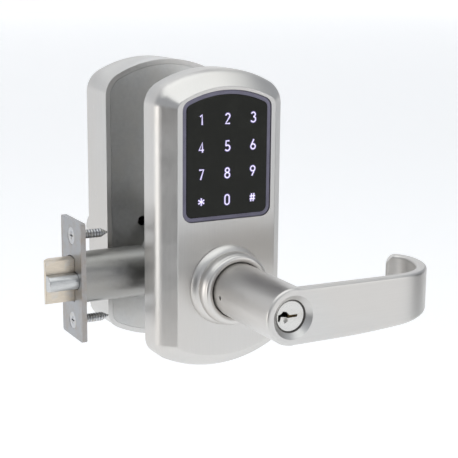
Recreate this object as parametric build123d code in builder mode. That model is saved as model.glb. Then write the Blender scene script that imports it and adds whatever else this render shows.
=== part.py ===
from build123d import *
import math
import os

# A keypad lever lockset for a bored door: keypad trim and keyed lever outside, cylindrical
# chassis and deadlocking spring latch in the door, battery housing and lever inside.
#
# Millimetres, +Z up. The origin is where the lever axis meets the door's outer face. The
# door's outer face is Y = 0 and the outside is -Y, the latch edge is towards -X.
#
# Every profile is drawn as seen from outside and extruded towards the outside. The inside
# half is drawn the same way, as if it stood on the outer face, and mirrored through the
# middle of the door.

os.makedirs("parts", exist_ok=True)

# --- door preparation -----------------------------------------------------------------
door_thickness = 44.45
backset = 60.325

# --- clearances -----------------------------------------------------------------------
bearing_clearance = 0.05      # radial, a shaft turning in its bearing
moving_gap = 0.3              # between pieces that pass each other
cut_slack = 1.0               # how far a cut runs past what it cuts
pick_slack = 0.01             # how far off a plane an edge may lie and still be picked
seat_clearance = 0.1          # around a fixed piece in its seat
thread_clearance = 0.1        # around a screw in its hole

# --- trim outline, shared by the outside plate and the inside housing -----------------
trim_half_width = 32.6
trim_top = 99.5
trim_top_arc = 55.4
trim_top_corner = 12.0
trim_bottom = -41.5
trim_bottom_arc = 61.4
trim_bottom_corner = 9.0
trim_wall = 2.4

# --- outside trim ---------------------------------------------------------------------
outside_depth = 20.0
outside_bevel = 7.4
shoulder_radius = 7.0
front_edge_radius = 0.6
seal_thickness = 0.8
seal_width = 3.6
seal_pad_reach = 6.0          # in from each plate screw
outside_plate_thickness = 1.5
cable_port_x = 13.5
cable_port_z = 19.0
cable_port_radius = 2.6

# --- inside housing -------------------------------------------------------------------
inside_depth = 28.0
inside_bevel = 3.0
inside_plate_thickness = 2.0

# --- keypad ---------------------------------------------------------------------------
keypad_half_width = 22.7
keypad_bottom = 31.0
keypad_top = 90.5
keypad_top_arc = 48.0
keypad_corner = 4.8
bezel_band = 1.9
bezel_recess = 0.5
bezel_flange = 0.6
bezel_flange_thickness = 1.2
lens_recess = 0.2
lens_thickness = 1.5
lens_ledge = 1.6
board_thickness = 1.6
key_column_pitch = 13.3
key_row_pitch = 12.45
key_top_row = 77.55
key_columns = 3
key_rows = 4
frame_edge_radius = 0.4
lens_clearance = 0.08
lens_chamfer = 0.25
keypad_seal_thickness = 0.6
board_inset = 1.0
board_hole_inset = 4.0
board_hole_radius = 1.2
cover_inset = 0.4
cover_rim = 1.2
light_well_radius = 4.2
led_size = 2.0
led_height = 1.0
led_chamfer = 0.3
chip_height = 1.2
touch_chip_size = 8.0
touch_chip_places = [(-6.0, 70.0), (8.5, 56.0)]
lamp_driver_width = 5.6
lamp_driver_height = 7.2
lamp_driver_place = (-9.0, 50.0)
header_place = (6.0, 40.0)
buzzer_place = (-10.5, 81.0)
buzzer_mouth_radius = 1.0
cover_window_margin = 1.0     # round the header
ear_reach = 2.2               # of the cover past each module screw
ear_half_height = 2.9
header_length = 11.0
header_width = 3.4
buzzer_radius = 4.5
buzzer_height = 1.8

# --- collar round each lever hub ------------------------------------------------------
collar_length = 12.0
collar_base_radius = 19.0
collar_ring_radius = 17.3
collar_groove_radius = 16.3
collar_skirt_length = 3.2
collar_skirt_wall = 1.9
collar_groove_start = 0.30    # these four as shares of the collar's length
collar_ring_start = 0.36
collar_ring_widest = 0.62
collar_ring_shoulder = 0.88
collar_flange_swell = 2.7     # as a share of its lip
collar_face_swell = 0.55      # how far out across the front the roll is highest
collar_face_drop = 0.15
collar_lip = 1.0

# --- lever ----------------------------------------------------------------------------
lever_reach = 80.0            # from the door's face to the grip's front face
lever_thickness = 5.0
hub_radius = 12.7
hub_hidden_length = 3.0       # of the lever's hub inside the collar
grip_straight = 56.0
grip_bend_radius = 27.5
grip_curl_radius = 15.0
grip_curl_angle = 60.0
grip_top = 12.4
grip_top_at_end = 11.2
grip_bottom = -12.6
grip_bottom_straight = 22.0
grip_bottom_at_end = -8.2
lever_edge_radius = 1.4
lever_tip_radius = 2.3
lever_tip_corner = 6.0
seam_steepness = 0.9          # an edge steeper than this runs across the grip
release_hole_radius = 0.95
release_hole_gap = 5.6        # in front of the collar
release_hole_z = -0.6

# --- spindles and their bearings ------------------------------------------------------
spindle_radius = 9.4
spindle_wall = 1.8
bearing_tube_wall = 3.95
tube_end_gap = 0.5
bearing_flange_radius = 17.0
bearing_flange_thickness = 1.5
arm_stop_angle = 2.0
lever_turn = 55.0             # degrees, down
arm_width = 3.0
arm_reach = 17.5
arm_position = 9.5            # back from the trim's front face
arm_thickness = 3.0
spring_wire = 0.7
spring_tube_gap = 0.9
return_spring_coils = 2.25
return_spring_pitch = 1.75

# --- lock cylinder --------------------------------------------------------------------
plug_radius = 6.9
plug_length = 28.2
plug_recess = 2.8             # behind the grip's front face
plug_hole_radius = 7.4
cylinder_shell_radius = 8.8
cylinder_shell_front = 2.7    # behind the grip's front face
dish_radius = 9.7
dish_depth = 2.2
dish_hollow = 0.25
plug_chamfer = 0.3
plug_cap_gap = 0.35
key_pin_start = 1.3
key_pin_end = 6.7
driver_pin_length = 2.2
pin_spring_wire = 0.16
pin_spring_coils = 4
key_guide_depth = 1.3
keyway_outline = [
    (-6.1, -1.7), (-5.2, -1.9), (-4.6, 0.2), (-2.2, -0.2), (-1.2, -0.7), (3.4, -0.65),
    (3.6, 0.45), (-0.5, 0.55), (-1.9, 2.1), (-3.5, 2.5), (-4.6, 1.5), (-6.0, 1.0),
]
key_guide_outline = [(-4.4, 0.1), (-1.4, -0.4), (-1.2, -2.0), (-2.6, -3.1)]
catch_recess = 0.6
catch_clearance = 0.12
catch_inner_length = 0.6
bible_half_width = 3.3
bible_reach = 11.2
pin_radius = 1.25
pin_count = 5
pin_pitch = 3.9
first_pin = 8.0               # behind the grip's front face
keyway_depth = 24.0
tailpiece_width = 6.0
tailpiece_thickness = 1.6
plug_cap_thickness = 1.4

# --- chassis in the cross bore --------------------------------------------------------
chassis_radius = 20.0
chassis_wall = 1.0
chassis_half_length = 13.0
chassis_window_half_height = 9.5
chassis_window_half_length = 8.5
through_bolt_radius = 2.0
through_bolt_offset = 23.4
post_radius = 3.2
post_length = 14.0
post_head_radius = 5.0
post_head_thickness = 1.0
bolt_head_radius = 4.0
bolt_head_height = 2.8
bolt_tip_gap = 3.0
latch_throw = 14.3
retractor_travel = 14.0
clutch_pin_radius = 1.1
clutch_pin_length = 3.4
clutch_pin_gap = 0.9
actuator_half_width = 4.0
actuator_height = 4.5
actuator_corner = 0.72
retractor_half_height = 9.0
retractor_half_length = 7.2
retractor_front = -13.0
retractor_back = 1.0
retractor_leg_thickness = 2.5
retractor_leg_top = 14.9
cam_nose_radius = 1.5
cam_thickness = 3.6
cam_ring_wall = 3.1
cam_finger_length = 6.8
retractor_neck_half_height = 2.5
retractor_neck_length = 2.3
retractor_head_half_height = 5.0
retractor_head_length = 2.0
retractor_spring_radius = 2.2
retractor_spring_wire = 0.35
retractor_spring_offset = 5.0
retractor_spring_pocket = 5.0
retractor_spring_coils = 6.5

# --- latch ----------------------------------------------------------------------------
faceplate_width = 25.4
faceplate_height = 57.15
faceplate_thickness = 2.4
faceplate_corner = 1.2
faceplate_screw_spacing = 41.3
faceplate_screw_radius = 2.1
faceplate_screw_head_radius = 4.2
faceplate_screw_neck_radius = 1.9
faceplate_screw_length = 19.0
bolt_side_gap = 0.4
bolt_flat = 3.6               # from the latch axis to the flat that carries the plunger
bolt_nose_width = 2.0
bolt_nose_radius = 0.5
opening_gap = 0.4
screw_sink = 0.15
cross_recess_span = 4.0
cross_recess_width = 0.9
cross_recess_depth = 1.6
cross_recess_taper = 12.0
bolt_length = 30.0
barrel_radius = 12.2
barrel_wall = 1.1
barrel_seat_depth = 0.5       # of the barrel's end in the faceplate
barrel_end = -24.5
barrel_cap = 1.2
plunger_radius = 3.8
plunger_inset = 0.9           # from the bolt's round to the plunger's
plunger_length = 19.5
plunger_stem_radius = 1.2
plunger_stem_shift = 1.0      # from the plunger's middle to its stem's
plunger_stem_length = 18.6
plunger_stop = 9.6
plunger_edge_radius = 0.6
stop_height = 1.9
plunger_travel = 10.0
tail_half_height = 2.5
tail_half_thickness = 1.2
tail_claw_wall = 1.9
latch_spring_radius = 3.9
latch_spring_wire = 0.55
latch_spring_coils = 7
plunger_spring_radius = 1.75
plunger_spring_wire = 0.3
plunger_spring_coils = 6

# --- inside housing contents ----------------------------------------------------------
cell_radius = 7.25
cell_body_length = 49.2
cell_nub_radius = 2.75
cell_nub_length = 1.3
cell_pitch = 14.6
cell_bottom = 32.6
cell_count = 4
holder_wall = 1.5
holder_floor = 2.0
contact_thickness = 0.4
contact_travel = 0.9
main_board_depth = 5.4
main_board_bottom = 30.0
main_board_top = 84.0
main_board_half_width = 24.0
cover_half_width = 26.0
cover_bottom = 25.9
cover_top = 90.0
cover_rib = 1.2
cover_corner = 6.0
cover_thickness = 2.2
cover_screw_z = 86.6
cover_screw_radius = 1.2
cover_screw_head_radius = 2.2
cover_screw_length = 9.0
cover_screw_head_height = 1.2
contact_width = 9.0
board_corner = 2.0
inside_shoulder_radius = 2.0
holder_boss_radius = 2.4
holder_rib_width = 2.0
holder_rib_height = 2.5
holder_height = 17.0
standoff_radius = 2.5
standoff_column = 20.0
standoff_rows = (34.0, 80.0)
housing_screw_z = -33.2
housing_screw_radius = 1.9
housing_screw_head_radius = 3.4
housing_screw_head_height = 2.0
housing_screw_sink = 0.5
housing_boss_radius = 4.8
processor_size = 10.4
processor_place = (-4.0, 62.0)
radio_length = 12.0
radio_height = 8.0
radio_place = (9.0, 70.0)
driver_chip_width = 4.8
driver_chip_height = 6.4
driver_chip_places = [(10.0, 52.0), (-14.0, 47.0)]
main_header_places = [(-8.0, 34.0), (8.0, 34.0)]
inside_spindle_grip = 18.0

# --- screws ---------------------------------------------------------------------------
recess_span = 1.1             # of a cross recess, as a share of the head's radius
recess_width = 0.28
recess_share = 0.6
small_screw_radius = 1.3
small_head_radius = 2.3
small_head_height = 1.4
post_column = 27.0            # screw posts in the trim, either side
corner_post_radius = 3.4
post_column_front = 14.2
post_hole_front = 13.2
plate_screw_rows = (-18.0, 66.0)
module_screw_rows = (40.0, 80.5)
module_depth = 8.0            # of the keypad module behind the trim's front wall
module_cover_thickness = 1.2
post_screw_length = 9.0
post_screw_length_short = 3.4
plate_screw_sink = 0.9

# --- places worked out from the sizes above -------------------------------------------
mid_door_y = door_thickness / 2
latch_face_x = -backset
spindle_bore_radius = spindle_radius - spindle_wall
bearing_bore_radius = spindle_radius + bearing_clearance
bearing_tube_radius = bearing_bore_radius + bearing_tube_wall
spring_radius = bearing_tube_radius + spring_tube_gap + spring_wire
cam_ring_radius = spindle_radius + cam_ring_wall
hub_bore_radius = hub_radius + moving_gap
collar_skirt_radius = hub_bore_radius + collar_skirt_wall
trim_hub_hole_radius = collar_skirt_radius + seat_clearance
plate_hole_radius = bearing_tube_radius + seat_clearance
plate_inset = trim_wall + seat_clearance
side_depth = outside_depth - outside_bevel
bezel_front = outside_depth - bezel_recess
pocket_depth = outside_depth - trim_wall
bezel_back = pocket_depth - keypad_seal_thickness - bezel_flange_thickness
lens_front = outside_depth - lens_recess
lens_back = lens_front - lens_thickness
chassis_outer_y = mid_door_y - chassis_half_length
chassis_inner_y = mid_door_y + chassis_half_length
bolt_nose_x = latch_face_x - latch_throw
bolt_radius = barrel_radius - barrel_wall - bolt_side_gap
plunger_offset = bolt_radius - plunger_inset - plunger_radius
plunger_stem_offset = plunger_offset + plunger_stem_shift
cam_start_angle = lever_turn / 2
cam_back = chassis_outer_y + chassis_wall + moving_gap + cam_thickness
cam_radius = retractor_travel / (2 * math.sin(math.radians(cam_start_angle)))
cam_start_x = -cam_radius * math.sin(math.radians(cam_start_angle))
cam_start_z = cam_radius * math.cos(math.radians(cam_start_angle))


def across(y):
    """The plane parallel to the door at depth y, seen from outside."""
    return Plane.XZ.offset(-y)


def along_latch(x):
    """The plane across the latch at x, seen from the door's edge: its X is the door's depth."""
    return Plane(origin=(x, 0, 0), x_dir=(0, 1, 0), z_dir=(1, 0, 0))


mid_door = across(mid_door_y)


def arched_edge(half_width, bottom, top, top_arc, bottom_arc=None):
    """The edge of a plate with straight sides, an arched top, and an arched or straight foot."""
    top_side = top - top_arc + math.sqrt(top_arc**2 - half_width**2)
    foot_side = bottom
    if bottom_arc:
        foot_side = bottom + bottom_arc - math.sqrt(bottom_arc**2 - half_width**2)
    with BuildLine() as edge:
        Line((-half_width, foot_side), (-half_width, top_side))
        ThreePointArc((-half_width, top_side), (0, top), (half_width, top_side))
        Line((half_width, top_side), (half_width, foot_side))
        if bottom_arc:
            ThreePointArc((half_width, foot_side), (0, bottom), (-half_width, foot_side))
        else:
            Line((half_width, foot_side), (-half_width, foot_side))
    return edge.edges()


def trim_shape(inset=0.0):
    """The trim's outline, drawn in from its edge by an inset."""
    with BuildSketch() as shape:
        make_face(arched_edge(trim_half_width, trim_bottom, trim_top, trim_top_arc, trim_bottom_arc))
        fillet(shape.vertices().group_by(Axis.Y)[-1], radius=trim_top_corner)
        fillet(shape.vertices().group_by(Axis.Y)[0], radius=trim_bottom_corner)
        if inset:
            offset(amount=-inset, mode=Mode.REPLACE)
    return shape.sketch


def keypad_shape(inset=0.0):
    """The keypad's outline, drawn in (or out, if negative) by an inset."""
    with BuildSketch() as shape:
        make_face(arched_edge(keypad_half_width, keypad_bottom, keypad_top, keypad_top_arc))
        fillet(shape.vertices(), radius=keypad_corner)
        if inset:
            offset(amount=-inset, mode=Mode.REPLACE)
    return shape.sketch


def key_places():
    """Centres of the keys, in the keypad's plane."""
    return [
        ((column - (key_columns - 1) / 2) * key_column_pitch, key_top_row - row * key_row_pitch)
        for row in range(key_rows)
        for column in range(key_columns)
    ]


def ring(outer, inner):
    """Draw a ring in the sketch in hand."""
    Circle(outer)
    Circle(inner, mode=Mode.SUBTRACT)


def bevelled_block(side, bevel, inset=0.0):
    """The trim's outline, straight for the side's depth, then drawn in by the bevel."""
    with BuildPart() as block:
        with BuildSketch(across(0)):
            add(trim_shape(inset))
        extrude(amount=side)
        with BuildSketch(across(-side)):
            add(trim_shape(inset))
        with BuildSketch(across(-side - bevel)):
            add(trim_shape(inset + bevel))
        loft()
    return block.part


def cross_screws(places, seat, length, radius, head_radius, head_height, outward=True):
    """Screws through the places, their shanks running outwards or inwards from under the head."""
    way = 1 if outward else -1
    with BuildPart() as group:
        with BuildSketch(across(seat)):
            with Locations(*places):
                Circle(radius)
        extrude(amount=way * length)
        with BuildSketch(across(seat)):
            with Locations(*places):
                Circle(head_radius)
        extrude(amount=-way * head_height)
        with BuildSketch(across(seat + way * head_height)):
            with Locations(*places):
                Rectangle(head_radius * recess_span, head_radius * recess_width)
                Rectangle(head_radius * recess_width, head_radius * recess_span)
        extrude(amount=way * head_height * recess_share, mode=Mode.SUBTRACT)
    return group.part


def coil_spring(start, direction, length, radius, wire, coils):
    """A helical spring whose wire runs from start along direction."""
    with BuildPart() as spring:
        with BuildLine() as path:
            Helix(pitch=length / coils, height=length, radius=radius, center=start, direction=direction)
        with BuildSketch(Plane(origin=path.line @ 0, z_dir=path.line % 0)):
            Circle(wire)
        sweep()
    return spring.part


# === outside trim =====================================================================

pocket_side = side_depth - trim_wall * (math.sqrt(2) - 1)
outside_plate_front = seal_thickness + outside_plate_thickness
plate_screw_places = [(side * post_column, z) for side in (-1, 1) for z in plate_screw_rows]
module_screw_places = [(side * post_column, z) for side in (-1, 1) for z in module_screw_rows]
module_cover_back = pocket_depth - module_depth
module_cover_front = module_cover_back + module_cover_thickness

with BuildPart() as outside_escutcheon:
    add(bevelled_block(side_depth, outside_bevel))
    picked = (-side_depth - pick_slack, -side_depth + pick_slack)
    shoulder = outside_escutcheon.edges().filter_by_position(Axis.Y, *picked)
    fillet(shoulder, radius=shoulder_radius)
    fillet(outside_escutcheon.faces().sort_by(Axis.Y)[0].edges(), radius=front_edge_radius)
    add(bevelled_block(pocket_side, pocket_depth - pocket_side, trim_wall), mode=Mode.SUBTRACT)
    with BuildSketch(across(-outside_plate_front)):
        with Locations(*plate_screw_places):
            Circle(corner_post_radius)
    extrude(amount=post_column_front - outside_plate_front)
    with BuildSketch(across(-module_cover_front)):
        with Locations(*module_screw_places):
            Circle(corner_post_radius)
    extrude(amount=post_column_front - module_cover_front)
    with BuildSketch(across(0)):
        add(keypad_shape(-seat_clearance))
        Circle(trim_hub_hole_radius)
    extrude(amount=outside_depth, mode=Mode.SUBTRACT)
    with BuildSketch(across(-outside_plate_front)):
        with Locations(*plate_screw_places, *module_screw_places):
            Circle(small_screw_radius + thread_clearance)
    extrude(amount=post_hole_front - outside_plate_front, mode=Mode.SUBTRACT)
outside_escutcheon.part.label = "outside_escutcheon"
export_step(outside_escutcheon.part, "parts/outside_escutcheon.step")

# The keypad's frame drops in from behind: a band that shows round the glass, a flange behind
# the trim's front wall, and a ledge that the glass lies on.
with BuildPart() as keypad_frame:
    with BuildSketch(across(-bezel_back)):
        add(keypad_shape(-bezel_flange))
    extrude(amount=bezel_flange_thickness)
    with BuildSketch(across(-bezel_back)):
        add(keypad_shape())
    extrude(amount=bezel_front - bezel_back)
    with BuildSketch(across(-bezel_back)):
        add(keypad_shape(bezel_band + lens_ledge))
    extrude(amount=bezel_front - bezel_back, mode=Mode.SUBTRACT)
    with BuildSketch(across(-lens_back)):
        add(keypad_shape(bezel_band))
    extrude(amount=bezel_front - lens_back, mode=Mode.SUBTRACT)
    fillet(keypad_frame.faces().sort_by(Axis.Y)[0].outer_wire().edges(), radius=frame_edge_radius)
keypad_frame.part.label = "keypad_frame"
export_step(keypad_frame.part, "parts/keypad_frame.step")

with BuildPart() as keypad_lens:
    with BuildSketch(across(-lens_back)):
        add(keypad_shape(bezel_band + lens_clearance))
    extrude(amount=lens_thickness)
    chamfer(keypad_lens.faces().sort_by(Axis.Y)[0].edges(), length=lens_chamfer)
keypad_lens.part.label = "keypad_lens"
export_step(keypad_lens.part, "parts/keypad_lens.step")

# Keeps rain out between the frame's flange and the trim's front wall.
with BuildPart() as keypad_seal:
    with BuildSketch(across(-pocket_depth + keypad_seal_thickness)):
        add(keypad_shape(-bezel_flange + seat_clearance))
        add(keypad_shape(-seat_clearance), mode=Mode.SUBTRACT)
    extrude(amount=keypad_seal_thickness)
keypad_seal.part.label = "keypad_seal"
export_step(keypad_seal.part, "parts/keypad_seal.step")

light_guide_back = bezel_back
light_guide_front = lens_back - seat_clearance
with BuildPart() as light_guide:
    with BuildSketch(across(-light_guide_back)):
        add(keypad_shape(bezel_band + lens_ledge + seat_clearance))
        with Locations(*key_places()):
            Circle(light_well_radius, mode=Mode.SUBTRACT)
    extrude(amount=light_guide_front - light_guide_back)
light_guide.part.label = "light_guide"
export_step(light_guide.part, "parts/light_guide.step")

keypad_board_back = bezel_back - board_thickness
with BuildPart() as keypad_board:
    with BuildSketch(across(-keypad_board_back)):
        add(keypad_shape(board_inset))
        with Locations((0, keypad_bottom + board_hole_inset), (0, keypad_top - board_hole_inset)):
            Circle(board_hole_radius, mode=Mode.SUBTRACT)
    extrude(amount=board_thickness)
keypad_board.part.label = "keypad_board"
export_step(keypad_board.part, "parts/keypad_board.step")

with BuildPart() as key_leds:
    with BuildSketch(across(-bezel_back)):
        with Locations(*key_places()):
            Rectangle(led_size, led_size)
    extrude(amount=led_height)
    chamfer(key_leds.faces().filter_by(Axis.Y).group_by(Axis.Y)[0].edges(), length=led_chamfer)
key_leds.part.label = "key_leds"
export_step(key_leds.part, "parts/key_leds.step")

# Touch controller, lamp driver, memory and the plug-in header, behind the board.
with BuildPart() as keypad_chips:
    with BuildSketch(across(-keypad_board_back + chip_height)):
        with Locations(*touch_chip_places):
            Rectangle(touch_chip_size, touch_chip_size)
        with Locations(lamp_driver_place):
            Rectangle(lamp_driver_width, lamp_driver_height)
        with Locations(header_place):
            Rectangle(header_length, header_width)
    extrude(amount=chip_height)
keypad_chips.part.label = "keypad_chips"
export_step(keypad_chips.part, "parts/keypad_chips.step")

with BuildPart() as buzzer:
    with BuildSketch(across(-keypad_board_back + buzzer_height)):
        with Locations(buzzer_place):
            Circle(buzzer_radius)
    extrude(amount=buzzer_height)
    with BuildSketch(across(-keypad_board_back + buzzer_height)):
        with Locations(buzzer_place):
            Circle(buzzer_mouth_radius)
    extrude(amount=buzzer_height / 2, mode=Mode.SUBTRACT)
buzzer.part.label = "buzzer"
export_step(buzzer.part, "parts/buzzer.step")

# A tray with a turned-up rim that presses the module home, with an ear on each module post.
with BuildPart() as keypad_cover:
    with BuildSketch(across(-module_cover_back)):
        add(keypad_shape(cover_inset))
        for z in module_screw_rows:
            with Locations((0, z)):
                Rectangle(2 * (post_column + ear_reach), 2 * ear_half_height)
    extrude(amount=module_cover_thickness)
    with BuildSketch(across(-module_cover_front)):
        add(keypad_shape(board_inset + cover_rim))
        add(keypad_shape(board_inset + 2 * cover_rim), mode=Mode.SUBTRACT)
    extrude(amount=keypad_board_back - module_cover_front)
    with BuildSketch(across(-module_cover_back)):
        with Locations(*module_screw_places):
            Circle(small_screw_radius + thread_clearance)
        with Locations(header_place):
            Rectangle(header_length + 2 * cover_window_margin, header_width + 2 * cover_window_margin)
    extrude(amount=module_cover_thickness, mode=Mode.SUBTRACT)
keypad_cover.part.label = "keypad_cover"
export_step(keypad_cover.part, "parts/keypad_cover.step")

# Four screws hold the keypad module, four more hold the back plate.
with BuildPart() as outside_trim_screws:
    add(
        cross_screws(
            module_screw_places,
            -module_cover_back,
            post_screw_length_short,
            small_screw_radius,
            small_head_radius,
            small_head_height,
        )
    )
    add(
        cross_screws(
            plate_screw_places,
            -seal_thickness - plate_screw_sink,
            post_screw_length,
            small_screw_radius,
            small_head_radius,
            small_head_height,
        )
    )
outside_trim_screws.part.label = "outside_trim_screws"
export_step(outside_trim_screws.part, "parts/outside_trim_screws.step")

post_places = [(0, through_bolt_offset), (0, -through_bolt_offset)]

with BuildPart() as outside_back_plate:
    with BuildSketch(across(-seal_thickness)):
        add(trim_shape(plate_inset))
        Circle(plate_hole_radius, mode=Mode.SUBTRACT)
        with Locations(*post_places):
            Circle(post_radius + seat_clearance, mode=Mode.SUBTRACT)
        with Locations(*plate_screw_places):
            Circle(small_screw_radius + thread_clearance, mode=Mode.SUBTRACT)
        with Locations((-cable_port_x, cable_port_z)):
            Circle(cable_port_radius, mode=Mode.SUBTRACT)
    extrude(amount=outside_plate_thickness)
    with BuildSketch(across(-seal_thickness)):
        with Locations(*plate_screw_places):
            Circle(small_head_radius + seat_clearance)
    extrude(amount=plate_screw_sink, mode=Mode.SUBTRACT)
outside_back_plate.part.label = "outside_back_plate"
export_step(outside_back_plate.part, "parts/outside_back_plate.step")

# The seal widens inwards where it passes the plate screws' heads.
with BuildPart() as weather_seal:
    with BuildSketch(across(0)):
        add(trim_shape(plate_inset))
        add(trim_shape(plate_inset + seal_width), mode=Mode.SUBTRACT)
        for side in (-1, 1):
            for z in plate_screw_rows:
                with Locations((side * (post_column - seal_pad_reach / 2), z)):
                    Rectangle(seal_pad_reach, 2 * seal_pad_reach)
        with Locations(*plate_screw_places):
            Circle(small_head_radius + moving_gap, mode=Mode.SUBTRACT)
    extrude(amount=seal_thickness)
weather_seal.part.label = "weather_seal"
export_step(weather_seal.part, "parts/weather_seal.step")

# Tapped posts riveted in the back plate take the two bolts that clamp the door.
with BuildPart() as threaded_posts:
    with BuildSketch(across(post_length - outside_plate_front)):
        with Locations(*post_places):
            Circle(post_radius)
    extrude(amount=post_length)
    with BuildSketch(across(-outside_plate_front)):
        with Locations(*post_places):
            Circle(post_head_radius)
    extrude(amount=post_head_thickness)
    with BuildSketch(across(post_length - outside_plate_front)):
        with Locations(*post_places):
            Circle(through_bolt_radius + thread_clearance)
    extrude(amount=post_length + post_head_thickness, mode=Mode.SUBTRACT)
threaded_posts.part.label = "threaded_posts"
export_step(threaded_posts.part, "parts/threaded_posts.step")


# === pieces that both halves have, drawn as for the outside ===========================

def collar(depth):
    """The turned collar round the lever's hub, with a skirt that goes through the trim."""
    groove = depth + collar_length * collar_groove_start
    ring_start = depth + collar_length * collar_ring_start
    ring_widest = depth + collar_length * collar_ring_widest
    ring_shoulder = depth + collar_length * collar_ring_shoulder
    front = depth + collar_length
    face_swell_radius = hub_bore_radius + collar_face_swell * (collar_groove_radius - hub_bore_radius)
    with BuildPart() as piece:
        with BuildSketch(Plane.XY):
            with BuildLine():
                Polyline(
                    (hub_bore_radius, -front + collar_lip),
                    (hub_bore_radius, -depth - collar_lip),
                    (bearing_tube_radius + seat_clearance, -depth),
                    (bearing_tube_radius + seat_clearance, -depth + collar_skirt_length),
                    (collar_skirt_radius, -depth + collar_skirt_length),
                    (collar_skirt_radius, -depth),
                    (collar_base_radius, -depth),
                    (collar_base_radius, -depth - collar_lip),
                )
                ThreePointArc(
                    (collar_base_radius, -depth - collar_lip),
                    (
                        (collar_base_radius + collar_groove_radius) / 2,
                        -depth - collar_flange_swell * collar_lip,
                    ),
                    (collar_groove_radius, -groove),
                )
                Line((collar_groove_radius, -groove), (collar_groove_radius, -ring_start))
                ThreePointArc(
                    (collar_groove_radius, -ring_start),
                    (collar_ring_radius, -ring_widest),
                    (collar_groove_radius, -ring_shoulder),
                )
                ThreePointArc(
                    (collar_groove_radius, -ring_shoulder),
                    (face_swell_radius, -front + collar_face_drop),
                    (hub_bore_radius, -front + collar_lip),
                )
            make_face()
        revolve(axis=Axis.Y)
    return piece.part


def arm_window():
    """Wedge that an arm sweeps as its lever turns, with room at both ends."""
    half_arm = math.degrees(math.asin(arm_width / 2 / spindle_radius))
    start = 90 + half_arm + arm_stop_angle
    end = 90 - lever_turn - half_arm - arm_stop_angle
    far = 2 * bearing_tube_radius
    with BuildSketch() as wedge:
        with BuildLine():
            corners = [
                (far * math.cos(math.radians(angle)), far * math.sin(math.radians(angle)))
                for angle in (start, (start + end) / 2, end)
            ]
            Polyline((0, 0), *corners, close=True)
        make_face()
    return wedge.sketch


def bearing_tube(depth):
    """The tube that carries a spindle from the chassis to the collar, with the arm's window."""
    arm_back = -(depth - arm_position) + arm_thickness / 2
    with BuildPart() as piece:
        with BuildSketch(across(chassis_outer_y)):
            ring(bearing_tube_radius, bearing_bore_radius)
        extrude(amount=chassis_outer_y + depth - tube_end_gap)
        with BuildSketch(across(chassis_outer_y)):
            ring(bearing_flange_radius, bearing_bore_radius)
        extrude(amount=bearing_flange_thickness)
        with BuildSketch(across(arm_back + moving_gap)):
            add(arm_window())
        extrude(amount=arm_thickness + 2 * moving_gap, mode=Mode.SUBTRACT)
    return piece.part


def spindle_arm(depth):
    """The arm that stands out of the spindle and winds the return spring."""
    arm_root = spindle_radius - spindle_wall / 2
    with BuildPart() as piece:
        with BuildSketch(across(-(depth - arm_position) + arm_thickness / 2)):
            with Locations((0, (arm_reach + arm_root) / 2)):
                Rectangle(arm_width, arm_reach - arm_root)
        extrude(amount=arm_thickness)
    return piece.part


def return_spring(depth):
    """The torsion spring round the bearing tube, behind the arm."""
    back = -(depth - arm_position) + arm_thickness / 2 + moving_gap + spring_wire
    length = return_spring_coils * return_spring_pitch
    start = (0, back + length, 0)
    return coil_spring(start, (0, -1, 0), length, spring_radius, spring_wire, return_spring_coils)


def cam(inner_radius):
    """The cam at a spindle's inner end: a ring, an arm and a finger beside the retractor's leg."""
    with BuildPart() as piece:
        with BuildSketch(across(cam_back)):
            Circle(cam_ring_radius)
            with Locations((cam_start_x / 2, cam_start_z / 2)):
                Rectangle(cam_radius, 2 * cam_nose_radius, rotation=90 + cam_start_angle)
            with Locations((cam_start_x, cam_start_z)):
                Circle(cam_nose_radius)
            Circle(inner_radius, mode=Mode.SUBTRACT)
        extrude(amount=cam_thickness)
        with BuildSketch(across(cam_back + cam_finger_length)):
            with Locations((cam_start_x, cam_start_z)):
                Circle(cam_nose_radius)
        extrude(amount=cam_finger_length)
    return piece.part


def hub_start(depth):
    """How far out from the door a lever's hub starts, inside its collar."""
    return depth + collar_length - hub_hidden_length


def release_plane(depth):
    """The plane that the release hole is bored from, on the latch side of the hub."""
    hole_y = -(depth + collar_length + release_hole_gap)
    return Plane(origin=(-hub_radius, hole_y, release_hole_z), x_dir=(0, 1, 0), z_dir=(1, 0, 0))


def catch(depth):
    """The button that a pin pushes in through the hub's small hole to take the lever off."""
    with BuildPart() as piece:
        with BuildSketch(release_plane(depth).offset(catch_recess)):
            Circle(release_hole_radius - catch_clearance)
        extrude(amount=hub_radius - catch_recess - spindle_bore_radius + catch_inner_length)
    return piece.part


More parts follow.
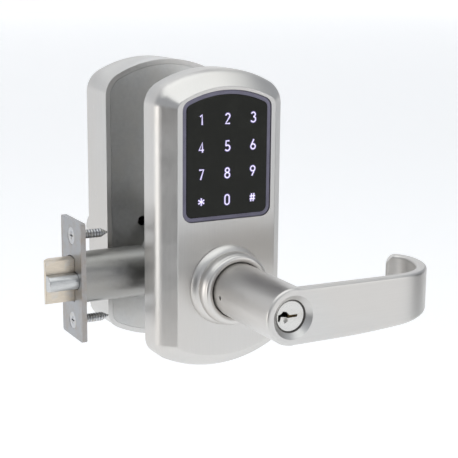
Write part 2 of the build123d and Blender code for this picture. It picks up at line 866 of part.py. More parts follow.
def lever_blank(depth):
    """Hub and grip of a lever: a strap that bends back and curls in, cut to its front outline."""
    bend_y = -lever_reach + grip_bend_radius
    curl_x = grip_straight + grip_bend_radius - grip_curl_radius
    end_x = grip_straight + grip_bend_radius + cut_slack
    half_blank = 2 * hub_radius
    back_y = -lever_reach + lever_thickness
    inner_curl_radius = grip_curl_radius - lever_thickness
    with BuildPart() as blank:
        with BuildSketch(Plane.XY.offset(-half_blank)) as strap:
            with BuildLine():
                front = Line((0, -lever_reach), (grip_straight, -lever_reach))
                CenterArc((grip_straight, bend_y), grip_bend_radius, -90, 90)
                curl = CenterArc((curl_x, bend_y), grip_curl_radius, 0, grip_curl_angle)
                back = Line((0, back_y), (grip_straight, back_y))
                CenterArc((grip_straight, bend_y), grip_bend_radius - lever_thickness, -90, 90)
                inner_curl = CenterArc((curl_x, bend_y), inner_curl_radius, 0, grip_curl_angle)
                Line(curl @ 1, inner_curl @ 1)
                Line(front @ 0, back @ 0)
            make_face()
            tip_middle = (curl @ 1 + inner_curl @ 1) / 2
            tip = [v for v in strap.vertices() if (Vector(*v) - tip_middle).length < lever_thickness]
            fillet(tip, radius=lever_tip_radius)
        extrude(amount=2 * half_blank)
        with BuildSketch(across(-hub_start(depth))):
            with BuildLine():
                Line((0, grip_top), (end_x, grip_top_at_end))
                Line((end_x, grip_top_at_end), (end_x, grip_bottom_at_end))
                TangentArc((grip_bottom_straight, grip_bottom), (end_x, grip_bottom_at_end), tangent=(1, 0))
                Line((grip_bottom_straight, grip_bottom), (0, grip_bottom))
                ThreePointArc((0, grip_bottom), (-hub_radius + seat_clearance, 0), (0, grip_top))
            make_face()
        extrude(amount=lever_reach - hub_start(depth) + cut_slack, mode=Mode.INTERSECT)
        with BuildSketch(across(-hub_start(depth))):
            Circle(hub_radius)
        extrude(amount=lever_reach - hub_start(depth))
    return blank.part


def tip_corners():
    """What is taken off the two corners at the curled end of a grip."""
    turn = math.radians(grip_curl_angle)
    reach = grip_curl_radius - lever_thickness / 2
    bend_y = -lever_reach + grip_bend_radius
    tip_x = grip_straight + grip_bend_radius - grip_curl_radius + reach * math.cos(turn)
    end_x = grip_straight + grip_bend_radius + cut_slack
    rise = ((tip_x - grip_bottom_straight) / (end_x - grip_bottom_straight)) ** 2
    top = grip_top + (grip_top_at_end - grip_top) * tip_x / end_x
    bottom = grip_bottom + (grip_bottom_at_end - grip_bottom) * rise
    tip_plane = Plane(
        origin=(tip_x, bend_y + reach * math.sin(turn), 0),
        x_dir=(-math.sin(turn), math.cos(turn), 0),
        z_dir=(math.cos(turn), math.sin(turn), 0),
    )
    with BuildPart() as corners:
        with BuildSketch(tip_plane):
            with Locations((0, top), (0, bottom)):
                Rectangle(2 * lever_tip_corner, 2 * lever_tip_corner)
            with Locations((-lever_tip_corner, (top + bottom) / 2)):
                RectangleRounded(
                    2 * lever_tip_corner, top - bottom, lever_tip_corner - seat_clearance, mode=Mode.SUBTRACT
                )
            with Locations((-3 * lever_tip_corner / 2, (top + bottom) / 2)):
                Rectangle(lever_tip_corner, top - bottom + 2 * lever_tip_corner, mode=Mode.SUBTRACT)
        extrude(amount=lever_thickness, both=True)
    return corners.part


def grip_edges(blank):
    """The long edges of the grip's front, its bend and curl, without the seams across it."""
    front = blank.faces().sort_by(Axis.Y)[0]
    return [
        edge
        for edge in front.edges()
        if edge.geom_type != GeomType.LINE or abs(edge.tangent_at(0.5).Z) < seam_steepness
    ]


# === outside collar, lever and spindle ================================================

with BuildPart() as outside_collar:
    add(collar(outside_depth))
outside_collar.part.label = "outside_collar"
export_step(outside_collar.part, "parts/outside_collar.step")

with BuildPart() as outside_bearing_tube:
    add(bearing_tube(outside_depth))
outside_bearing_tube.part.label = "outside_bearing_tube"
export_step(outside_bearing_tube.part, "parts/outside_bearing_tube.step")

cylinder_front = lever_reach - cylinder_shell_front
cylinder_back = lever_reach - plug_recess - plug_length

with BuildPart() as outside_lever:
    add(lever_blank(outside_depth))
    fillet(grip_edges(outside_lever), radius=lever_edge_radius)
    add(tip_corners(), mode=Mode.SUBTRACT)
    with BuildSketch(across(-hub_start(outside_depth))):
        Circle(spindle_radius)
    extrude(amount=cylinder_back - hub_start(outside_depth), mode=Mode.SUBTRACT)
    with BuildSketch(across(-cylinder_back)):
        Circle(cylinder_shell_radius + seat_clearance)
        with Locations(((bible_reach + seat_clearance) / 2, 0)):
            Rectangle(bible_reach + seat_clearance, 2 * (bible_half_width + seat_clearance))
    extrude(amount=cylinder_front - cylinder_back, mode=Mode.SUBTRACT)
    with BuildSketch(across(-cylinder_front)):
        Circle(plug_hole_radius)
    extrude(amount=cylinder_shell_front, mode=Mode.SUBTRACT)
    with BuildSketch(Plane.XY):
        with BuildLine():
            Line((0, -lever_reach), (dish_radius, -lever_reach))
            ThreePointArc(
                (dish_radius, -lever_reach),
                (
                    (dish_radius + plug_hole_radius) / 2 - dish_hollow,
                    -lever_reach + dish_depth / 2 + dish_hollow,
                ),
                (plug_hole_radius, -lever_reach + dish_depth),
            )
            Line((plug_hole_radius, -lever_reach + dish_depth), (0, -lever_reach + dish_depth))
            Line((0, -lever_reach + dish_depth), (0, -lever_reach))
        make_face()
    revolve(axis=Axis.Y, mode=Mode.SUBTRACT)
    with BuildSketch(release_plane(outside_depth)):
        Circle(release_hole_radius)
    extrude(amount=hub_radius, mode=Mode.SUBTRACT)
outside_lever.part.label = "outside_lever"
export_step(outside_lever.part, "parts/outside_lever.step")

with BuildPart() as outside_spindle:
    with BuildSketch(across(cam_back)):
        ring(spindle_radius, spindle_bore_radius)
    extrude(amount=cam_back + cylinder_back - seat_clearance)
    add(spindle_arm(outside_depth))
    with BuildSketch(release_plane(outside_depth)):
        Circle(release_hole_radius)
    extrude(amount=hub_radius, mode=Mode.SUBTRACT)
outside_spindle.part.label = "outside_spindle"
export_step(outside_spindle.part, "parts/outside_spindle.step")

with BuildPart() as outside_return_spring:
    add(return_spring(outside_depth))
outside_return_spring.part.label = "outside_return_spring"
export_step(outside_return_spring.part, "parts/outside_return_spring.step")

with BuildPart() as outside_catch:
    add(catch(outside_depth))
outside_catch.part.label = "outside_catch"
export_step(outside_catch.part, "parts/outside_catch.step")

# === lock cylinder in the outside lever ===============================================

pin_places = [(0, -lever_reach + first_pin + index * pin_pitch) for index in range(pin_count)]
pin_bore_radius = pin_radius + bearing_clearance


def along_pins(x):
    """The plane across the pins at x: its X is the door's depth."""
    return Plane(origin=(x, 0, 0), x_dir=(0, 0, -1), z_dir=(1, 0, 0))


with BuildPart() as cylinder_shell:
    with BuildSketch(across(-cylinder_back)):
        Circle(cylinder_shell_radius)
        with Locations((bible_reach / 2, 0)):
            Rectangle(bible_reach, 2 * bible_half_width)
        Circle(plug_radius + bearing_clearance, mode=Mode.SUBTRACT)
    extrude(amount=cylinder_front - cylinder_back)
    with BuildSketch(along_pins(plug_radius / 2)):
        with Locations(*pin_places):
            Circle(pin_bore_radius)
    extrude(amount=bible_reach, mode=Mode.SUBTRACT)
cylinder_shell.part.label = "cylinder_shell"
export_step(cylinder_shell.part, "parts/cylinder_shell.step")

with BuildPart() as cylinder_plug:
    with BuildSketch(across(-cylinder_back)):
        Circle(plug_radius)
    extrude(amount=plug_length)
    chamfer(cylinder_plug.faces().sort_by(Axis.Y)[0].edges(), length=plug_chamfer)
    with BuildSketch(along_pins(key_pin_start - plug_chamfer)):
        with Locations(*pin_places):
            Circle(pin_bore_radius)
    extrude(amount=plug_radius, mode=Mode.SUBTRACT)
    with BuildSketch(across(-lever_reach + keyway_depth)):
        with BuildLine():
            Polyline(*keyway_outline, close=True)
        make_face()
    extrude(amount=keyway_depth, mode=Mode.SUBTRACT)
    with BuildSketch(across(-lever_reach + plug_recess + key_guide_depth)):
        with BuildLine():
            Polyline(*key_guide_outline, close=True)
        make_face()
    extrude(amount=key_guide_depth, mode=Mode.SUBTRACT)
cylinder_plug.part.label = "cylinder_plug"
export_step(cylinder_plug.part, "parts/cylinder_plug.step")

with BuildPart() as key_pins:
    with BuildSketch(along_pins(key_pin_start)):
        with Locations(*pin_places):
            Circle(pin_radius)
    extrude(amount=key_pin_end - key_pin_start)
key_pins.part.label = "key_pins"
export_step(key_pins.part, "parts/key_pins.step")

driver_pin_start = plug_radius + 2 * bearing_clearance
with BuildPart() as driver_pins:
    with BuildSketch(along_pins(driver_pin_start)):
        with Locations(*pin_places):
            Circle(pin_radius)
    extrude(amount=driver_pin_length)
driver_pins.part.label = "driver_pins"
export_step(driver_pins.part, "parts/driver_pins.step")

pin_spring_start = driver_pin_start + driver_pin_length + pin_spring_wire
with BuildPart() as pin_springs:
    for _, pin_y in pin_places:
        add(
            coil_spring(
                (pin_spring_start, pin_y, 0),
                (1, 0, 0),
                bible_reach - pin_spring_wire - pin_spring_start,
                pin_radius - pin_spring_wire - bearing_clearance,
                pin_spring_wire,
                pin_spring_coils,
            )
        )
pin_springs.part.label = "pin_springs"
export_step(pin_springs.part, "parts/pin_springs.step")

# The cap holds the plug in its shell and carries the blade that reaches the chassis.
with BuildPart() as tailpiece:
    with BuildSketch(across(-cylinder_back + plug_cap_thickness)):
        Circle(spindle_bore_radius - plug_cap_gap)
    extrude(amount=plug_cap_thickness)
    with BuildSketch(across(cam_back)):
        Rectangle(tailpiece_width, tailpiece_thickness)
    extrude(amount=cam_back + cylinder_back - plug_cap_thickness)
tailpiece.part.label = "tailpiece"
export_step(tailpiece.part, "parts/tailpiece.step")

# === chassis in the cross bore ========================================================

with BuildPart() as chassis_housing:
    with BuildSketch(across(chassis_inner_y - chassis_wall)):
        Circle(chassis_radius)
    extrude(amount=chassis_inner_y - chassis_wall - chassis_outer_y)
    with BuildSketch(across(chassis_inner_y - chassis_wall)):
        Circle(chassis_radius - chassis_wall)
    extrude(amount=chassis_inner_y - 2 * chassis_wall - chassis_outer_y, mode=Mode.SUBTRACT)
    with BuildSketch(across(chassis_inner_y)):
        Circle(bearing_bore_radius + moving_gap)
    extrude(amount=chassis_inner_y - chassis_outer_y, mode=Mode.SUBTRACT)
    with BuildSketch(along_latch(-chassis_radius - cut_slack)):
        with Locations((mid_door_y, 0)):
            Rectangle(2 * chassis_window_half_length, 2 * chassis_window_half_height)
    extrude(amount=chassis_radius / 2, mode=Mode.SUBTRACT)
chassis_housing.part.label = "chassis_housing"
export_step(chassis_housing.part, "parts/chassis_housing.step")

with BuildPart() as chassis_cap:
    with BuildSketch(across(chassis_inner_y)):
        ring(chassis_radius, bearing_bore_radius + moving_gap)
    extrude(amount=chassis_wall)
chassis_cap.part.label = "chassis_cap"
export_step(chassis_cap.part, "parts/chassis_cap.step")

# Stays at rest while the lock is locked: the outside spindle turns inside it.
with BuildPart() as drive_cam:
    add(cam(spindle_radius + moving_gap))
    with BuildSketch(Plane.XY.offset(spindle_radius)):
        with Locations((0, cam_back - cam_thickness / 2)):
            Circle(clutch_pin_radius + bearing_clearance)
    extrude(amount=cam_ring_radius, mode=Mode.SUBTRACT)
drive_cam.part.label = "drive_cam"
export_step(drive_cam.part, "parts/drive_cam.step")

# Joins the outside spindle to the drive cam when the code is right; shown drawn back.
with BuildPart() as clutch_pin:
    with BuildSketch(Plane.XY.offset(spindle_radius + clutch_pin_gap)):
        with Locations((0, cam_back - cam_thickness / 2)):
            Circle(clutch_pin_radius)
    extrude(amount=clutch_pin_length)
clutch_pin.part.label = "clutch_pin"
export_step(clutch_pin.part, "parts/clutch_pin.step")

actuator_bottom = spindle_radius + clutch_pin_gap + clutch_pin_length
with BuildPart() as clutch_actuator:
    with BuildSketch(Plane.XY.offset(actuator_bottom)):
        with Locations((0, cam_back - cam_thickness / 2)):
            RectangleRounded(2 * actuator_half_width, cam_thickness, actuator_corner)
    extrude(amount=actuator_height)
clutch_actuator.part.label = "clutch_actuator"
export_step(clutch_actuator.part, "parts/clutch_actuator.step")

# The slide that both cams push away from the door's edge, with a T-shaped head for the
# latch's tail, a leg beside the cams' fingers and pockets for its springs.
neck_front = retractor_front - retractor_neck_length
head_front = neck_front - retractor_head_length
leg_front = cam_start_x + cam_nose_radius + moving_gap
with BuildPart() as retractor:
    with BuildSketch(across(mid_door_y + retractor_half_length)):
        with Locations(((retractor_front + retractor_back) / 2, 0)):
            Rectangle(retractor_back - retractor_front, 2 * retractor_half_height)
        with Locations((leg_front + retractor_leg_thickness / 2, retractor_leg_top / 2)):
            Rectangle(retractor_leg_thickness, retractor_leg_top)
    extrude(amount=2 * retractor_half_length)
    with BuildSketch(across(mid_door_y + tail_half_thickness)):
        with Locations(((neck_front + retractor_front) / 2, 0)):
            Rectangle(retractor_neck_length, 2 * retractor_neck_half_height)
        with Locations(((neck_front + head_front) / 2, 0)):
            Rectangle(retractor_head_length, 2 * retractor_head_half_height)
    extrude(amount=2 * tail_half_thickness)
    with BuildSketch(along_latch(retractor_back)):
        with Locations((mid_door_y, retractor_spring_offset), (mid_door_y, -retractor_spring_offset)):
            Circle(retractor_spring_radius + retractor_spring_wire + moving_gap)
    extrude(amount=-retractor_spring_pocket, mode=Mode.SUBTRACT)
retractor.part.label = "retractor"
export_step(retractor.part, "parts/retractor.step")

retractor_spring_start = retractor_back - retractor_spring_pocket + retractor_spring_wire
chassis_inner_radius = chassis_radius - chassis_wall
retractor_spring_side = retractor_spring_offset + 2 * retractor_spring_radius
retractor_spring_end = math.sqrt(chassis_inner_radius**2 - retractor_spring_side**2) - retractor_spring_wire
with BuildPart() as retractor_springs:
    for side in (-1, 1):
        add(
            coil_spring(
                (retractor_spring_start, mid_door_y, side * retractor_spring_offset),
                (1, 0, 0),
                retractor_spring_end - retractor_spring_start,
                retractor_spring_radius,
                retractor_spring_wire,
                retractor_spring_coils,
            )
        )
retractor_springs.part.label = "retractor_springs"
export_step(retractor_springs.part, "parts/retractor_springs.step")

# === latch ============================================================================

plate_back_x = latch_face_x + faceplate_thickness
barrel_start_x = plate_back_x - barrel_seat_depth
thread_start = faceplate_thickness + thread_clearance
bolt_back_x = bolt_nose_x + bolt_length
flat_y = mid_door_y - bolt_flat
plunger_y = mid_door_y - plunger_offset
stem_y = mid_door_y - plunger_stem_offset
screw_heights = (-faceplate_screw_spacing / 2, faceplate_screw_spacing / 2)
bevel_depth = mid_door_y + bolt_radius - flat_y - bolt_nose_width


def bolt_section(gap):
    """The bolt's round section with its flat, grown by a gap."""
    with BuildSketch() as section:
        with Locations((mid_door_y, 0)):
            Circle(bolt_radius + gap)
        with Locations((flat_y - gap - bolt_radius, 0)):
            Rectangle(2 * bolt_radius, 4 * bolt_radius, mode=Mode.SUBTRACT)
    return section.sketch


def plunger_section(gap):
    """The plunger's half-round section against the bolt's flat, grown by a gap."""
    with BuildSketch() as section:
        with Locations((plunger_y, 0)):
            Circle(plunger_radius + gap)
        with Locations(((plunger_y + flat_y - moving_gap) / 2, 0)):
            Rectangle(flat_y - moving_gap - plunger_y, 2 * (plunger_radius + gap))
        with Locations((flat_y - moving_gap + plunger_radius, 0)):
            Rectangle(2 * plunger_radius, 4 * plunger_radius, mode=Mode.SUBTRACT)
    return section.sketch


with BuildPart() as latch_bolt:
    with BuildSketch(along_latch(bolt_nose_x)):
        add(bolt_section(0))
    extrude(amount=bolt_length)
    with BuildSketch(Plane.XY.offset(-2 * bolt_radius)):
        with BuildLine():
            Polyline(
                (bolt_nose_x, flat_y + bolt_nose_width),
                (bolt_nose_x + bevel_depth + cut_slack, flat_y + bolt_nose_width + bevel_depth + cut_slack),
                (bolt_nose_x, flat_y + bolt_nose_width + bevel_depth + cut_slack),
                close=True,
            )
        make_face()
    extrude(amount=4 * bolt_radius, mode=Mode.SUBTRACT)
    fillet(latch_bolt.edges().filter_by(Axis.Z).sort_by(Axis.X)[0], radius=bolt_nose_radius)
latch_bolt.part.label = "latch_bolt"
export_step(latch_bolt.part, "parts/latch_bolt.step")

# A flat tail that ends in a claw round the retractor's head.
claw_back = retractor_front - moving_gap
claw_front = head_front - moving_gap - tail_claw_wall
claw_half_height = retractor_head_half_height + moving_gap + tail_claw_wall
with BuildPart() as latch_tail:
    with BuildSketch(across(mid_door_y + tail_half_thickness)):
        with Locations(((bolt_back_x + claw_front) / 2 + tail_claw_wall / 2, 0)):
            Rectangle(claw_front - bolt_back_x + tail_claw_wall, 2 * tail_half_height)
        with Locations(((claw_front + claw_back) / 2, 0)):
            Rectangle(claw_back - claw_front, 2 * claw_half_height)
        with Locations(((head_front - moving_gap + neck_front + moving_gap) / 2, 0)):
            Rectangle(
                retractor_head_length + 2 * moving_gap,
                2 * (retractor_head_half_height + moving_gap),
                mode=Mode.SUBTRACT,
            )
        with Locations(((neck_front + claw_back) / 2, 0)):
            Rectangle(
                retractor_neck_length,
                2 * (retractor_neck_half_height + moving_gap),
                mode=Mode.SUBTRACT,
            )
    extrude(amount=2 * tail_half_thickness)
latch_tail.part.label = "latch_tail"
export_step(latch_tail.part, "parts/latch_tail.step")

with BuildPart() as latch_plunger:
    with BuildSketch(along_latch(bolt_nose_x)):
        add(plunger_section(0))
    extrude(amount=plunger_length)
    fillet(latch_plunger.faces().sort_by(Axis.X)[0].edges(), radius=plunger_edge_radius)
    with BuildSketch(along_latch(bolt_nose_x + plunger_length)):
        with Locations((stem_y, 0)):
            Circle(plunger_stem_radius)
    extrude(amount=plunger_stem_length)
latch_plunger.part.label = "latch_plunger"
export_step(latch_plunger.part, "parts/latch_plunger.step")

with BuildPart() as latch_faceplate:
    with BuildSketch(along_latch(latch_face_x)):
        with Locations((mid_door_y, 0)):
            RectangleRounded(faceplate_width, faceplate_height, faceplate_corner)
    extrude(amount=faceplate_thickness)
    with BuildSketch(along_latch(latch_face_x)):
        add(bolt_section(opening_gap))
        add(plunger_section(opening_gap))
        with Locations((flat_y, 0)):
            Rectangle(2 * opening_gap, 2 * (plunger_radius + opening_gap))
    extrude(amount=faceplate_thickness, mode=Mode.SUBTRACT)
    with BuildSketch(along_latch(barrel_start_x)):
        with Locations((mid_door_y, 0)):
            Circle(barrel_radius + seat_clearance)
    extrude(amount=barrel_seat_depth, mode=Mode.SUBTRACT)
    for height in screw_heights:
        with Locations(Plane(origin=(latch_face_x, mid_door_y, height), z_dir=(-1, 0, 0))):
            CounterSinkHole(
                radius=faceplate_screw_radius + thread_clearance,
                counter_sink_radius=faceplate_screw_head_radius + thread_clearance,
                depth=faceplate_thickness,
                counter_sink_angle=90,
            )
latch_faceplate.part.label = "latch_faceplate"
export_step(latch_faceplate.part, "parts/latch_faceplate.step")

with BuildPart() as faceplate_screws:
    for height in screw_heights:
        screw_origin = (latch_face_x, mid_door_y, height)
        with BuildSketch(Plane(origin=screw_origin, x_dir=(1, 0, 0), z_dir=(0, -1, 0))):
            with BuildLine():
                Polyline(
                    (screw_sink, 0),
                    (screw_sink, faceplate_screw_head_radius - screw_sink),
                    (faceplate_screw_head_radius - faceplate_screw_neck_radius, faceplate_screw_neck_radius),
                    (thread_start, faceplate_screw_neck_radius),
                    (thread_start, faceplate_screw_radius),
                    (faceplate_screw_length - 2 * faceplate_screw_radius, faceplate_screw_radius),
                    (faceplate_screw_length, 0),
                    close=True,
                )
            make_face()
        revolve(axis=Axis(screw_origin, (1, 0, 0)))
        with BuildSketch(along_latch(latch_face_x + screw_sink)):
            with Locations((mid_door_y, height)):
                Rectangle(cross_recess_span, cross_recess_width)
                Rectangle(cross_recess_width, cross_recess_span)
        extrude(amount=cross_recess_depth, taper=cross_recess_taper, mode=Mode.SUBTRACT)
faceplate_screws.part.label = "faceplate_screws"
export_step(faceplate_screws.part, "parts/faceplate_screws.step")

barrel_inner_radius = barrel_radius - barrel_wall
stop_x = bolt_nose_x + plunger_length + plunger_travel + plunger_stop
with BuildPart() as latch_barrel:
    with BuildSketch(along_latch(barrel_start_x)):
        with Locations((mid_door_y, 0)):
            ring(barrel_radius, barrel_inner_radius)
    extrude(amount=barrel_end - barrel_start_x)
    with BuildSketch(along_latch(barrel_end - barrel_cap)):
        with Locations((mid_door_y, 0)):
            Circle(barrel_radius)
            Rectangle(
                2 * (tail_half_thickness + moving_gap),
                2 * (tail_half_height + moving_gap),
                mode=Mode.SUBTRACT,
            )
    extrude(amount=barrel_cap)
    with BuildSketch(along_latch(stop_x)):
        with Locations((mid_door_y, 0)):
            Circle(barrel_inner_radius + barrel_wall / 2)
        with Locations((stem_y + barrel_radius + stop_height, 0)):
            Rectangle(2 * barrel_radius, 4 * barrel_radius, mode=Mode.SUBTRACT)
        with Locations((stem_y, 0)):
            Circle(plunger_stem_radius + moving_gap, mode=Mode.SUBTRACT)
    extrude(amount=barrel_cap)
latch_barrel.part.label = "latch_barrel"
export_step(latch_barrel.part, "parts/latch_barrel.step")

with BuildPart() as latch_spring:
    spring_start = bolt_back_x + latch_spring_wire
    add(
        coil_spring(
            (spring_start, mid_door_y, 0),
            (1, 0, 0),
            barrel_end - barrel_cap - latch_spring_wire - spring_start,
            latch_spring_radius,
            latch_spring_wire,
            latch_spring_coils,
        )
    )
latch_spring.part.label = "latch_spring"
export_step(latch_spring.part, "parts/latch_spring.step")

with BuildPart() as plunger_spring:
    spring_start = bolt_nose_x + plunger_length + plunger_spring_wire
    add(
        coil_spring(
            (spring_start, stem_y, 0),
            (1, 0, 0),
            stop_x - plunger_spring_wire - spring_start,
            plunger_spring_radius,
            plunger_spring_wire,
            plunger_spring_coils,
        )
    )
plunger_spring.part.label = "plunger_spring"
export_step(plunger_spring.part, "parts/plunger_spring.step")


# === inside half, drawn as if on the outer face and mirrored through the door =========

with BuildPart() as inside_collar:
    mirror(collar(inside_depth), about=mid_door)
inside_collar.part.label = "inside_collar"
export_step(inside_collar.part, "parts/inside_collar.step")

with BuildPart() as inside_bearing_tube:
    mirror(bearing_tube(inside_depth), about=mid_door)
inside_bearing_tube.part.label = "inside_bearing_tube"
export_step(inside_bearing_tube.part, "parts/inside_bearing_tube.step")

with BuildPart() as inside_return_spring:
    mirror(return_spring(inside_depth), about=mid_door)
inside_return_spring.part.label = "inside_return_spring"
export_step(inside_return_spring.part, "parts/inside_return_spring.step")

inside_spindle_front = hub_start(inside_depth) + inside_spindle_grip
with BuildPart() as inside_spindle:
    add(cam(spindle_bore_radius))
    with BuildSketch(across(cam_back)):
        ring(spindle_radius, spindle_bore_radius)
    extrude(amount=cam_back + inside_spindle_front)
    add(spindle_arm(inside_depth))
    with BuildSketch(release_plane(inside_depth)):
        Circle(release_hole_radius)
    extrude(amount=hub_radius, mode=Mode.SUBTRACT)
    mirror(about=mid_door, mode=Mode.REPLACE)
inside_spindle.part.label = "inside_spindle"
export_step(inside_spindle.part, "parts/inside_spindle.step")

with BuildPart() as inside_lever:
    add(lever_blank(inside_depth))
    fillet(grip_edges(inside_lever), radius=lever_edge_radius)
    add(tip_corners(), mode=Mode.SUBTRACT)
    with BuildSketch(across(-hub_start(inside_depth))):
        Circle(spindle_radius)
    extrude(amount=inside_spindle_grip, mode=Mode.SUBTRACT)
    with BuildSketch(release_plane(inside_depth)):
        Circle(release_hole_radius)
    extrude(amount=hub_radius, mode=Mode.SUBTRACT)
    mirror(about=mid_door, mode=Mode.REPLACE)
inside_lever.part.label = "inside_lever"
export_step(inside_lever.part, "parts/inside_lever.step")

with BuildPart() as inside_catch:
    mirror(catch(inside_depth), about=mid_door)
inside_catch.part.label = "inside_catch"
export_step(inside_catch.part, "parts/inside_catch.step")

main_board_front = main_board_depth + board_thickness
holder_front = main_board_front + holder_height
standoff_places = [(side * standoff_column, z) for side in (-1, 1) for z in standoff_rows]

with BuildPart() as inside_mounting_plate:
    with BuildSketch(across(0)):
        add(trim_shape(plate_inset))
        Circle(plate_hole_radius, mode=Mode.SUBTRACT)
        with Locations(*post_places):
            Circle(through_bolt_radius + thread_clearance, mode=Mode.SUBTRACT)
        with Locations((-cable_port_x, cable_port_z)):
            Circle(cable_port_radius, mode=Mode.SUBTRACT)
        with Locations((0, housing_screw_z)):
            Circle(housing_screw_radius + thread_clearance, mode=Mode.SUBTRACT)
    extrude(amount=inside_plate_thickness)
    with BuildSketch(across(-inside_plate_thickness)):
        with Locations(*standoff_places):
            Circle(standoff_radius)
    extrude(amount=main_board_depth - inside_plate_thickness)
    mirror(about=mid_door, mode=Mode.REPLACE)
inside_mounting_plate.part.label = "inside_mounting_plate"
export_step(inside_mounting_plate.part, "parts/inside_mounting_plate.step")

with BuildPart() as through_bolts:
    mirror(
        cross_screws(
            post_places,
            -inside_plate_thickness,
            inside_plate_thickness + door_thickness - bolt_tip_gap,
            through_bolt_radius,
            bolt_head_radius,
            bolt_head_height,
            outward=False,
        ),
        about=mid_door,
    )
through_bolts.part.label = "through_bolts"
export_step(through_bolts.part, "parts/through_bolts.step")

inside_side = inside_depth - inside_bevel
inside_pocket_side = inside_side - trim_wall * (math.sqrt(2) - 1)
inside_pocket_depth = inside_depth - trim_wall
housing_screw_seat = inside_depth - housing_screw_head_height - housing_screw_sink


def cover_shape(gap=0.0):
    """The battery cover's outline, grown by a gap."""
    with BuildSketch() as shape:
        with Locations((0, (cover_top + cover_bottom) / 2)):
            RectangleRounded(2 * cover_half_width, cover_top - cover_bottom, cover_corner)
        if gap:
            offset(amount=gap, mode=Mode.REPLACE)
    return shape.sketch


with BuildPart() as inside_housing:
    add(bevelled_block(inside_side, inside_bevel))
    picked = (-inside_side - pick_slack, -inside_side + pick_slack)
    shoulder = inside_housing.edges().filter_by_position(Axis.Y, *picked)
    fillet(shoulder, radius=inside_shoulder_radius)
    fillet(inside_housing.faces().sort_by(Axis.Y)[0].edges(), radius=front_edge_radius)
    add(
        bevelled_block(inside_pocket_side, inside_pocket_depth - inside_pocket_side, trim_wall),
        mode=Mode.SUBTRACT,
    )
    with BuildSketch(across(-inside_plate_thickness)):
        with Locations((0, housing_screw_z)):
            Circle(housing_boss_radius)
    extrude(amount=inside_pocket_depth - inside_plate_thickness)
    with BuildSketch(across(-inside_plate_thickness)):
        with Locations((0, housing_screw_z)):
            Circle(housing_screw_radius + thread_clearance)
    extrude(amount=inside_depth, mode=Mode.SUBTRACT)
    with BuildSketch(across(-housing_screw_seat)):
        with Locations((0, housing_screw_z)):
            Circle(housing_screw_head_radius + seat_clearance)
    extrude(amount=inside_depth, mode=Mode.SUBTRACT)
    with BuildSketch(across(-inside_plate_thickness)):
        add(cover_shape(moving_gap))
        Circle(trim_hub_hole_radius)
    extrude(amount=inside_depth, mode=Mode.SUBTRACT)
    mirror(about=mid_door, mode=Mode.REPLACE)
inside_housing.part.label = "inside_housing"
export_step(inside_housing.part, "parts/inside_housing.step")

with BuildPart() as housing_screw:
    mirror(
        cross_screws(
            [(0, housing_screw_z)],
            -housing_screw_seat,
            housing_screw_seat - screw_sink,
            housing_screw_radius,
            housing_screw_head_radius,
            housing_screw_head_height,
            outward=False,
        ),
        about=mid_door,
    )
housing_screw.part.label = "housing_screw"
export_step(housing_screw.part, "parts/housing_screw.step")

with BuildPart() as main_board:
    with BuildSketch(across(-main_board_depth)):
        with Locations((0, (main_board_bottom + main_board_top) / 2)):
            RectangleRounded(2 * main_board_half_width, main_board_top - main_board_bottom, board_corner)
    extrude(amount=board_thickness)
    mirror(about=mid_door, mode=Mode.REPLACE)
main_board.part.label = "main_board"
export_step(main_board.part, "parts/main_board.step")

# Processor, radio can, motor driver, memory and the two plug-in headers, on the door side.
with BuildPart() as main_board_parts:
    with BuildSketch(across(-main_board_depth + chip_height)):
        with Locations(processor_place):
            Rectangle(processor_size, processor_size)
        with Locations(radio_place):
            Rectangle(radio_length, radio_height)
        with Locations(*driver_chip_places):
            Rectangle(driver_chip_width, driver_chip_height)
        with Locations(*main_header_places):
            Rectangle(header_length, header_width)
    extrude(amount=chip_height)
    mirror(about=mid_door, mode=Mode.REPLACE)
main_board_parts.part.label = "main_board_parts"
export_step(main_board_parts.part, "parts/main_board_parts.step")

cell_half = (cell_body_length + cell_nub_length) / 2
contact_plane_x = cell_half + contact_travel
holder_half_width = contact_plane_x + contact_thickness + holder_wall
cell_heights = [cell_bottom + index * cell_pitch for index in range(cell_count)]
cell_y = -main_board_front - holder_floor - cell_radius - seat_clearance
holder_bottom = cell_heights[0] - cell_radius - seat_clearance - holder_wall
holder_top = cell_heights[-1] + cell_radius + seat_clearance + holder_wall

with BuildPart() as battery_holder:
    with BuildSketch(across(-main_board_front)):
        with Locations((0, (holder_bottom + holder_top) / 2)):
            Rectangle(2 * holder_half_width, holder_top - holder_bottom)
    extrude(amount=holder_height)
    with BuildSketch(across(-main_board_front - holder_floor)):
        with Locations((0, (holder_bottom + holder_top) / 2)):
            Rectangle(2 * (holder_half_width - holder_wall), holder_top - holder_bottom - 2 * holder_wall)
    extrude(amount=holder_height, mode=Mode.SUBTRACT)
    with BuildSketch(across(-main_board_front - holder_floor)):
        for lower, upper in zip(cell_heights, cell_heights[1:]):
            with Locations((0, (lower + upper) / 2)):
                Rectangle(cell_body_length, holder_rib_width)
    extrude(amount=holder_rib_height)
    with BuildSketch(across(-main_board_front)):
        with Locations((0, cover_screw_z)):
            Circle(holder_boss_radius)
    extrude(amount=holder_height)
    with BuildSketch(across(-main_board_front - holder_floor)):
        with Locations((0, cover_screw_z)):
            Circle(cover_screw_radius + moving_gap)
    extrude(amount=holder_height, mode=Mode.SUBTRACT)
    mirror(about=mid_door, mode=Mode.REPLACE)
battery_holder.part.label = "battery_holder"
export_step(battery_holder.part, "parts/battery_holder.step")

